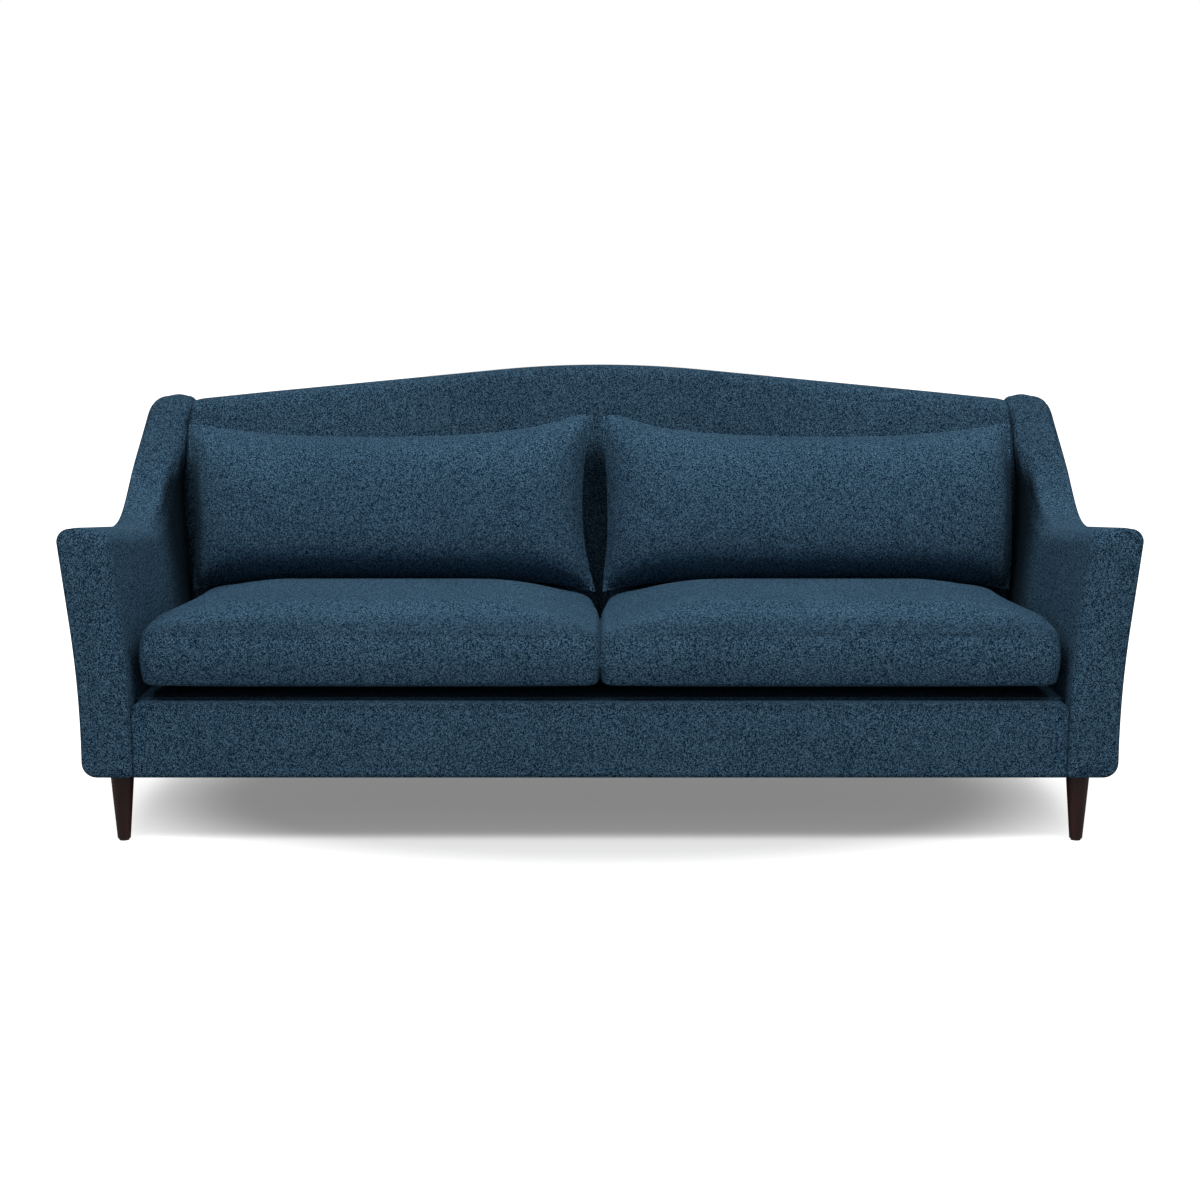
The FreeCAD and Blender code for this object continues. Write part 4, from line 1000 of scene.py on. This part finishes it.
def seat_edges(y):
    """The inner and outer edges of a seat cushion's plan at a distance from the front."""
    share = (y - SEAT_LOW.y) / (SEAT_HIGH.y - SEAT_LOW.y)
    inner = SEAT_LOW.x - 0.0015 + 0.020 * smooth(share, 0.42, 1.0)
    outer = SEAT_HIGH.x - 0.001 - 0.034 * smooth(share, 0.10, 0.75)
    return inner, outer


def rise(distance, reach, power):
    """How far a crown has risen at a distance from an edge, from 0 to 1."""
    return 1 - (1 - np.clip(distance / reach, 0, 1)) ** power


def seat_top(x, y):
    """The height of a seat cushion's top at a place, with x counted from the middle of the sofa."""
    inner, outer = seat_edges(y)
    full = rise(x - inner, 0.30, 3.2) * rise(outer - x, 0.22, 3.1)
    full = full * rise(y - SEAT_LOW.y, 0.135, 2.9) * rise(SEAT_HIGH.y - y, 0.28, 2.2)
    return blend(seam_height(x, y), SEAT_HIGH.z - 0.003, full)


def seat_plan(across, y):
    """A place on a seat cushion's plan, with rounded corners and ends drawn in between them."""
    front, rear = SEAT_LOW.y, SEAT_HIGH.y
    inner, outer = seat_edges(y)
    x = blend(inner, outer, across)
    for corner_x, way_x in ((inner, 1), (outer, -1)):
        for corner_y, way_y, corner in ((front, 1, SEAT_FRONT_CORNER), (rear, -1, SEAT_REAR_CORNER)):
            dx = (x - corner_x) * way_x
            dy = (y - corner_y) * way_y
            if dx < corner and dy < corner:
                a, b = 1 - dx / corner, 1 - dy / corner
                shrink = max(a, b) / math.hypot(a, b)
                x = corner_x + way_x * corner * (1 - a * shrink)
                y = corner_y + way_y * corner * (1 - b * shrink)
    y += SEAT_BOW * math.sin(math.pi * across) ** 2 * (1 - 2 * (y - front) / (rear - front))
    return x, y


def seat_cushion_object(name, way, settings):
    """A boxed seat cushion: a crowned top, a border that bulges between two seams, and a belly."""
    front, rear = SEAT_LOW.y, SEAT_HIGH.y
    low = FOOT_SEAM_HIGH
    across = seamed_shares(SEAT_HIGH.x - SEAT_LOW.x, settings.spacing)
    deep = front + seamed_steps(rear - front, settings.spacing)
    upright = seamed_shares(BORDER_HIGH, settings.spacing)
    columns, rows, border = len(across) - 1, len(deep) - 1, len(upright) - 1
    points = []
    index = {}

    def put(key, x, y, z):
        """Add a point and remember its number."""
        index[key] = len(points)
        points.append((way * x, y, z))

    faces = []
    for row in range(rows + 1):
        for column in range(columns + 1):
            x, y = seat_plan(across[column], deep[row])
            edge = column in (0, columns) or row in (0, rows)
            belly = rise(min(x - SEAT_LOW.x, SEAT_HIGH.x - x), 0.12, 1.5)
            belly *= rise(min(y - front, rear - y), 0.30, 1.5)
            put(("top", column, row), x, y, seam_height(x, y) if edge else seat_top(x, y))
            put(("bottom", column, row), x, y, low - (low - SEAT_LOW.z) * belly)
    for row in range(rows):
        for column in range(columns):
            for level in ("top", "bottom"):
                faces.append([index[(level, column + a, row + b)] for a, b in SQUARE])
    edge = [(column, 0) for column in range(columns)] + [(columns, row) for row in range(rows)]
    edge += [(column, rows) for column in range(columns, 0, -1)] + [(0, row) for row in range(rows, 0, -1)]
    plan = np.array([seat_plan(across[column], deep[row]) for column, row in edge])
    ahead = np.roll(plan, -1, axis=0) - np.roll(plan, 1, axis=0)
    outs = np.column_stack([ahead[:, 1], -ahead[:, 0]]) / np.linalg.norm(ahead, axis=1)[:, None]
    for spot, ((x, y), (out_x, out_y)) in enumerate(zip(plan, outs)):
        for level in range(1, border):
            bulge = settings.border_bulge * math.sin(math.pi * upright[level]) ** 0.8 * min(1, 1 - out_y)
            z = blend(low, seam_height(x, y), upright[level])
            put(("border", spot, level), x + out_x * bulge, y + out_y * bulge, z)
        index[("border", spot, 0)] = index[("bottom", *edge[spot])]
        index[("border", spot, border)] = index[("top", *edge[spot])]
    for spot in range(len(edge)):
        around = (spot, (spot + 1) % len(edge))
        for level in range(border):
            faces.append([index[("border", around[a], level + b)] for a, b in SQUARE])
    seams = [index[(level, column, row)] for level in ("top", "bottom") for column, row in edge]
    piece = mesh_object(name, points, faces, merge=0)
    inflate(piece, settings, seams)
    sink_seams(piece, seams, settings.seam_sink)
    keep_in_place(piece)
    subdivide(piece)
    return piece


def sink_seams(piece, seams, depth):
    """Pull the seams in, so that the cloth puffs beside them, and paint shade into the seams and onto the
    rolled front edge.
    """
    points = read_points(piece.data)
    normals = np.array([piece.data.vertices[index].normal for index in seams])
    points[seams] -= normals * depth
    write_points(piece.data, points)
    rolled = 1 - smooth(points[:, 1] - SEAT_LOW.y, 0.012, 0.060)
    painted_seat_shade = -0.30 * rolled * smooth(points[:, 2], 0.405, 0.425)
    painted_seat_shade[seams] -= 0.15
    point_attribute(piece, "painted_light", painted_seat_shade)


def keep_in_place(piece):
    """Keep a swollen seat cushion off the deck, the arms and its neighbour."""
    points = read_points(piece.data)
    nearest, furthest = 0.0035, 0.931
    points[:, 0] = np.sign(points[:, 0]) * np.clip(np.abs(points[:, 0]), nearest, furthest)
    points[:, 1] = np.minimum(points[:, 1], SEAT_HIGH.y - 0.001)
    points[:, 2] = np.maximum(points[:, 2], DECK_HIGH.z + 0.0005)
    write_points(piece.data, points)


class SOFA_OT_seat_cushions(bpy.types.Operator):
    """Make both boxed seat cushions"""

    bl_idname = "sofa.seat_cushions"
    bl_label = "Seat cushions"

    def execute(self, context):
        for side, way in SIDES:
            cushion = seat_cushion_object(f"{side}_seat_cushion", way, context.scene.sofa_cushion)
            finish_piece(cushion, upholstery_cloth(context), f"{side}_seat_cushion",
                         [f"{side}_seat_cushion_cover", f"{side}_seat_cushion_filling"])
        return {"FINISHED"}


# Back cushions

# The edges of each back cushion as places along it and distances from the middle or the floor
PILLOW_EDGES = {
    "right": {
        "inner": [(0, 0.005), (0.12, 0.009), (0.3, 0.0155), (0.45, 0.0165), (0.65, 0.0145), (0.82, 0.009),
                  (0.95, 0.0055), (1, 0.008)],
        "outer": [(0, 0.932), (0.15, 0.939), (0.4, 0.942), (0.65, 0.942), (0.85, 0.9405), (1, 0.940)],
    },
    "left": {
        "inner": [(0, 0.010), (0.12, 0.022), (0.3, 0.036), (0.45, 0.040), (0.65, 0.038), (0.82, 0.031),
                  (0.95, 0.023), (1, 0.025)],
        "outer": [(0, 0.927), (0.15, 0.926), (0.35, 0.924), (0.55, 0.927), (0.78, 0.938), (0.92, 0.944),
                  (1, 0.943)],
    },
}
PILLOW_TOP = [(0, 0.819), (0.03, 0.823), (0.06, 0.814), (0.12, 0.799), (0.2, 0.787), (0.3, 0.779),
              (0.45, 0.774), (0.6, 0.7735), (0.75, 0.777), (0.86, 0.786), (0.93, 0.794), (0.98, 0.801),
              (1, 0.800)]
PILLOW_FOOT = [(0, 0.424), (0.03, 0.430), (0.08, 0.438), (0.16, 0.446), (0.3, 0.450), (0.5, 0.451),
               (0.75, 0.450), (0.88, 0.445), (0.96, 0.436), (1, 0.428)]
PILLOW_WIDE, PILLOW_HIGH = 0.936, 0.380
PILLOW_FRONT_DEEP, PILLOW_REAR_DEEP = 0.113, 0.052
PILLOW_STAND_OFF = 0.068


def back_cushion_object(name, side, way, settings):
    """A knife-edge back cushion: two panels sewn round their edge, leaning on the back."""
    edges = PILLOW_EDGES[side]
    across = seamed_shares(PILLOW_WIDE, settings.spacing)
    upright = seamed_shares(PILLOW_HIGH, settings.spacing)
    columns, rows = len(across) - 1, len(upright) - 1
    foot_line, top_line = soft_line(PILLOW_FOOT, across), soft_line(PILLOW_TOP, across)
    inner_line, outer_line = soft_line(edges["inner"], upright), soft_line(edges["outer"], upright)
    points = []
    index = {}
    for level, deep in (("front", PILLOW_FRONT_DEEP), ("rear", -PILLOW_REAR_DEEP)):
        for row, lift in enumerate(upright):
            for column, share in enumerate(across):
                edge = column in (0, columns) or row in (0, rows)
                if edge and ("edge", column, row) in index:
                    continue
                x = blend(inner_line[row], outer_line[row], share)
                z = blend(foot_line[column], top_line[column], lift)
                y = back_front_y(z) - PILLOW_STAND_OFF / math.cos(BACK_LEAN)
                u, v = 2 * share - 1, 2 * lift - 1
                full = ((1 - abs(u) ** 8) * (1 - abs(v) ** (2.7 if v > 0 else 4.4))) ** 0.52
                near = min(share, 1 - share) * PILLOW_WIDE, min(lift, 1 - lift) * PILLOW_HIGH
                pinch = near[0] / (near[0] + 0.005) * near[1] / (near[1] + 0.005)
                depth = deep * full * pinch
                index[("edge" if edge else level, column, row)] = len(points)
                points.append((way * x, y - depth * math.cos(BACK_LEAN), z + depth * math.sin(BACK_LEAN)))

    def number(level, column, row):
        """The number of a point, which both panels share along the seam."""
        return index.get((level, column, row), index.get(("edge", column, row)))

    faces = []
    for level in ("front", "rear"):
        for row in range(rows):
            for column in range(columns):
                faces.append([number(level, column + a, row + b) for a, b in SQUARE])
    seams = {spot for key, spot in index.items() if key[0] == "edge"}
    # Painted light: a painted highlight along the top seams, and painted shade low on the outer side beside
    # the arm
    painted_light_values = np.zeros(len(points))
    for (_, column, row), spot in index.items():
        shaded = smooth(across[column], 0.972, 0.988) * (1 - smooth(upright[row], 0.72, 0.85))
        painted_highlight = 0.7 if spot in seams and upright[row] > 0.8 else 0
        painted_light_values[spot] = painted_highlight - 0.6 * shaded
    piece = mesh_object(name, points, faces, merge=0)
    inflate(piece, settings, seams)
    rest_on_seat(piece)
    point_attribute(piece, "painted_light", painted_light_values)
    sharp = piece.data.attributes.new("crease_edge", "FLOAT", "EDGE")
    sharp.data.foreach_set("value", [0.8 * seams.issuperset(edge.vertices) for edge in piece.data.edges])
    subdivide(piece)
    return piece


def rest_on_seat(piece):
    """Flatten the cushion's foot where it would sink into the seat cushion or the back."""
    points = read_points(piece.data)
    away = np.abs(points[:, 0])
    deep = np.clip(points[:, 1], SEAT_LOW.y, SEAT_HIGH.y)
    inner, outer = seat_edges(deep)
    carried = (away > inner) & (away < outer)
    floor = np.where(carried, seat_top(away, deep) + 0.0005, 0.42)
    low = points[:, 2] < floor
    points[low, 2] = floor[low] + (floor[low] - points[low, 2]) * 0.02
    zip_beside = smooth(np.abs(points[:, 2] - ZIP_MIDDLE.z), 0.014, 0.048)
    zip_beside = np.maximum(zip_beside, smooth(np.abs(away - ZIP_MIDDLE.x), ZIP_HALF, ZIP_HALF + 0.05))
    wall = back_front_y(points[:, 2]) - 0.004 - 0.0115 * (1 - zip_beside)
    behind = points[:, 1] > wall
    points[behind, 1] = wall[behind] - (points[behind, 1] - wall[behind]) * 0.02
    write_points(piece.data, points)


class SOFA_OT_back_cushions(bpy.types.Operator):
    """Make both loose back cushions"""

    bl_idname = "sofa.back_cushions"
    bl_label = "Back cushions"

    def execute(self, context):
        for side, way in SIDES:
            cushion = back_cushion_object(f"{side}_back_cushion", side, way, context.scene.sofa_cushion)
            finish_piece(cushion, upholstery_cloth(context), f"{side}_back_cushion",
                         [f"{side}_back_cushion_cover", f"{side}_back_cushion_filling"])
        return {"FINISHED"}


# Zip teeth, sewing and staples

class SOFA_OT_zips(bpy.types.Operator):
    """Set the teeth into each cushion's zip and sew its tape down on both sides"""

    bl_idname = "sofa.zips"
    bl_label = "Zip teeth and sewing"

    def execute(self, context):
        settings = context.scene.sofa_trim
        metal = plain_material(
            "zip_teeth_metal", (0.16, 0.16, 0.17), (0.30, 0.30, 0.31), 300, 0.35, metallic=1.0)
        thread = plain_material("sewing_thread", (0.006, 0.020, 0.040), (0.016, 0.045, 0.080), 2500, 0.8)
        tooth = block_shape("zip_tooth", settings.tooth_pitch * 0.6, 0.0064, 0.00195, 0.0003)
        stitch = block_shape("stitch", settings.stitch_pitch * 0.72, 0.0007, 0.0005, 0.0002)
        half_tape, tape_thick, sewn_off, end_off = 0.013, 0.0008, 0.0095, 0.006
        for side, _ in SIDES:
            for kind, lean in (("seat", 0.0), ("back", BACK_LEAN)):
                body = f"{side}_{kind}_cushion"
                low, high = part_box(f"{body}_zip")
                up = Vector((0, math.cos(lean), -math.sin(lean)))
                along_tape = Vector((0, math.sin(lean), math.cos(lean)))
                middle = Vector((0, low.y + half_tape * math.sin(lean), high.z - half_tape * math.cos(lean)))
                rows = []
                for shift in (0, -sewn_off, sewn_off):
                    centre = middle + up * tape_thick + along_tape * shift
                    rows.append([centre + Vector((x, 0, 0)) for x in (low.x + end_off, high.x - end_off)])
                teeth = copies_along(
                    f"{side}_{kind}_zip_teeth", rows[:1], up, tooth, metal, settings.tooth_pitch, 0)
                finish_piece(teeth, metal, body, [])
                sewing = copies_along(f"{side}_{kind}_zip_sewing", rows[1:], up, stitch, thread,
                                      settings.stitch_pitch, settings.unevenness)
                finish_piece(sewing, thread, body, [])
        bpy.data.objects.remove(tooth)
        bpy.data.objects.remove(stitch)
        return {"FINISHED"}


class SOFA_OT_staples(bpy.types.Operator):
    """Staple the dust cover under the frame"""

    bl_idname = "sofa.staples"
    bl_label = "Staples"

    def execute(self, context):
        settings = context.scene.sofa_trim
        steel = plain_material("staple_wire", (0.50, 0.50, 0.52), (0.68, 0.68, 0.70), 400, 0.3, metallic=1.0)
        low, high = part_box("dust_cover")
        inset = 0.010
        left, right, front, rear = low.x + inset, high.x - inset, low.y + inset, high.y - inset
        corners = [(left, front, low.z), (right, front, low.z), (right, rear, low.z), (left, rear, low.z)]
        lines = list(zip(corners, corners[1:] + corners[:1]))
        staple = block_shape("staple", 0.010, 0.0012, 0.0006, 0.0002)
        staples = copies_along("dust_cover_staples", lines, (0, 0, -1), staple, steel,
                               settings.staple_pitch, settings.unevenness)
        finish_piece(staples, steel, "sofa_frame", [])
        bpy.data.objects.remove(staple)
        return {"FINISHED"}


# Legs, boards, metal and the rest of the frame's own pieces

class SOFA_OT_frame_finishes(bpy.types.Operator):
    """Give every piece of the frame that stays its own finish"""

    bl_idname = "sofa.frame_finishes"
    bl_label = "Frame finishes"

    def execute(self, context):
        finishes = {
            "leg_wood": wood_material(
                "leg_wood", (0.011, 0.0035, 0.003), (0.036, 0.012, 0.010), 0.42, 60, (1, 1, 0.06), coat=0.03),
            "frame_wood": wood_material(
                "frame_beech", (0.42, 0.27, 0.15), (0.66, 0.47, 0.29), 0.6, 30, (0.08, 1, 1)),
            "zinc_steel": plain_material(
                "zinc_plate", (0.42, 0.43, 0.45), (0.62, 0.63, 0.65), 60, 0.38, metallic=1.0),
            "spring_steel": plain_material(
                "spring_steel", (0.10, 0.10, 0.11), (0.20, 0.20, 0.22), 80, 0.42, metallic=1.0),
            "glide_nylon": plain_material("glide_nylon", (0.02, 0.02, 0.02), (0.04, 0.04, 0.04), 200, 0.5),
            "webbing": plain_material(
                "webbing_weave", (0.40, 0.34, 0.24), (0.62, 0.56, 0.43), 700, 0.9, relief=0.0005),
            "zip_tape": plain_material(
                "zip_tape_weave", (0.010, 0.024, 0.040), (0.030, 0.060, 0.090), 900, 0.85),
            "zip_metal": plain_material(
                "zip_metal", (0.20, 0.20, 0.22), (0.34, 0.34, 0.36), 90, 0.35, metallic=1.0),
        }
        for part in frame["record"]["subparts"]:
            finish = finishes.get(part["material_slot"])
            if finish is not None:
                dress(frame["nodes"][part["node"]], finish)
        return {"FINISHED"}


# Stage

class SOFA_OT_stage(bpy.types.Operator):
    """Set up the camera, the lamps and the pale floor"""

    bl_idname = "sofa.stage"
    bl_label = "Stage"

    def execute(self, context):
        scene = context.scene
        settings = scene.sofa_stage
        camera = bpy.data.cameras.new("camera")
        camera.lens = settings.lens
        camera.sensor_width = 36
        scene.camera = linked_object("camera", camera)
        scene.camera.location = settings.eye
        scene.camera.rotation_euler = (math.pi / 2 - settings.pitch, 0, 0)
        turn, lift, away, aim_high = math.radians(40), math.radians(56), 7.0, 0.5
        for side, way in SIDES:
            lamp = bpy.data.lights.new(f"{side}_softbox", "AREA")
            lamp.energy = settings.softbox
            lamp.size = 3.0
            holder = linked_object(f"{side}_softbox", lamp)
            flat = math.cos(lift)
            ray = Vector((way * flat * math.sin(turn), -flat * math.cos(turn), math.sin(lift)))
            holder.location = Vector((0, 0, aim_high)) + ray * away
            holder.rotation_euler = (-ray).to_track_quat("-Z", "Y").to_euler()
        world = bpy.data.worlds.new("studio")
        world.use_nodes = True
        tree = world.node_tree
        tree.nodes.clear()
        white = (1, 1, 1, 1)
        path = tree.nodes.new("ShaderNodeLightPath").outputs
        direct = maths(tree, "MAXIMUM", path["Is Camera Ray"], path["Is Transmission Ray"])
        direct = maths(tree, "MAXIMUM", direct, path["Is Glossy Ray"])
        sky = add_node(tree, "ShaderNodeBackground", {"Color": white, "Strength": settings.sky})
        seen = add_node(tree, "ShaderNodeBackground", {"Color": white, "Strength": 1.0})
        mixed = add_node(tree, "ShaderNodeMixShader", {"Fac": direct, 1: sky, 2: seen})
        add_node(tree, "ShaderNodeOutputWorld", {"Surface": mixed})
        scene.world = world
        floor = mesh_object("floor", [(-30, -20, 0), (30, -20, 0), (30, 30, 0), (-30, 30, 0)], [(0, 1, 2, 3)])
        material, tree, shader = new_material("pale_floor")
        seen = tree.nodes.new("ShaderNodeLightPath").outputs["Is Camera Ray"]
        tint = add_node(tree, "ShaderNodeMix", {
            "Factor": seen, "A": (0.35, 0.35, 0.35, 1), "B": (0.66, 0.66, 0.66, 1)}, data_type="RGBA")
        # The floor glows white to the camera, but only weakly in an oval under the sofa: a painted shadow
        # over the lamps' real one
        painted_shadow_oval = add_node(tree, "ShaderNodeMapping", {
            "Vector": object_point(tree), "Scale": (1 / 1.27, 1 / 0.85, 1)})
        far = add_node(tree, "ShaderNodeVectorMath", {0: painted_shadow_oval}, operation="LENGTH")
        fade = add_node(tree, "ShaderNodeMapRange", {
            "Value": far, "From Min": 0.60, "From Max": 1.03, "To Min": settings.floor_glow, "To Max": 1.0,
        }, interpolation_type="SMOOTHSTEP")
        set_inputs(shader, {
            "Base Color": tint, "Roughness": 0.9, "Specular IOR Level": 0.1, "Emission Color": white,
            "Emission Strength": maths(tree, "MULTIPLY", seen, fade)})
        dress(floor, material)
        scene.view_settings.view_transform = "Standard"
        return {"FINISHED"}


class SOFA_PT_panel(bpy.types.Panel):
    """The sofa's sizes and the buttons that make its pieces"""

    bl_idname = "SOFA_PT_panel"
    bl_label = "Sofa"
    bl_space_type = "VIEW_3D"
    bl_region_type = "UI"
    bl_category = "Sofa"

    def draw(self, context):
        layout = self.layout
        for settings in GROUPS:
            group = getattr(context.scene, settings)
            box = layout.box()
            for name in group.bl_rna.properties.keys():
                if name not in ("rna_type", "name"):
                    box.prop(group, name)
        for operator in OPERATORS:
            layout.operator(operator.bl_idname)


OPERATORS = (
    SOFA_OT_arms, SOFA_OT_back, SOFA_OT_front_rail, SOFA_OT_sheets,
    SOFA_OT_seat_cushions, SOFA_OT_back_cushions, SOFA_OT_zips, SOFA_OT_staples, SOFA_OT_frame_finishes,
    SOFA_OT_stage,
)
GROUPS = {
    "sofa_cloth": ClothSettings, "sofa_arm": ArmSettings, "sofa_back": BackSettings,
    "sofa_cushion": CushionSettings, "sofa_trim": TrimSettings, "sofa_stage": StageSettings,
}


def register():
    """Add the classes and the scene's settings."""
    for group in GROUPS.values():
        bpy.utils.register_class(group)
    for name, group in GROUPS.items():
        setattr(bpy.types.Scene, name, PointerProperty(type=group))
    for operator in OPERATORS:
        bpy.utils.register_class(operator)
    bpy.utils.register_class(SOFA_PT_panel)


def unregister():
    """Take the classes and the settings away again."""
    bpy.utils.unregister_class(SOFA_PT_panel)
    for operator in reversed(OPERATORS):
        bpy.utils.unregister_class(operator)
    for name in GROUPS:
        delattr(bpy.types.Scene, name)
    for group in GROUPS.values():
        bpy.utils.unregister_class(group)


def main():
    register()
    for operator in OPERATORS:
        group, name = operator.bl_idname.split(".")
        getattr(getattr(bpy.ops, group), name)()


if __name__ == "__main__":
    main()
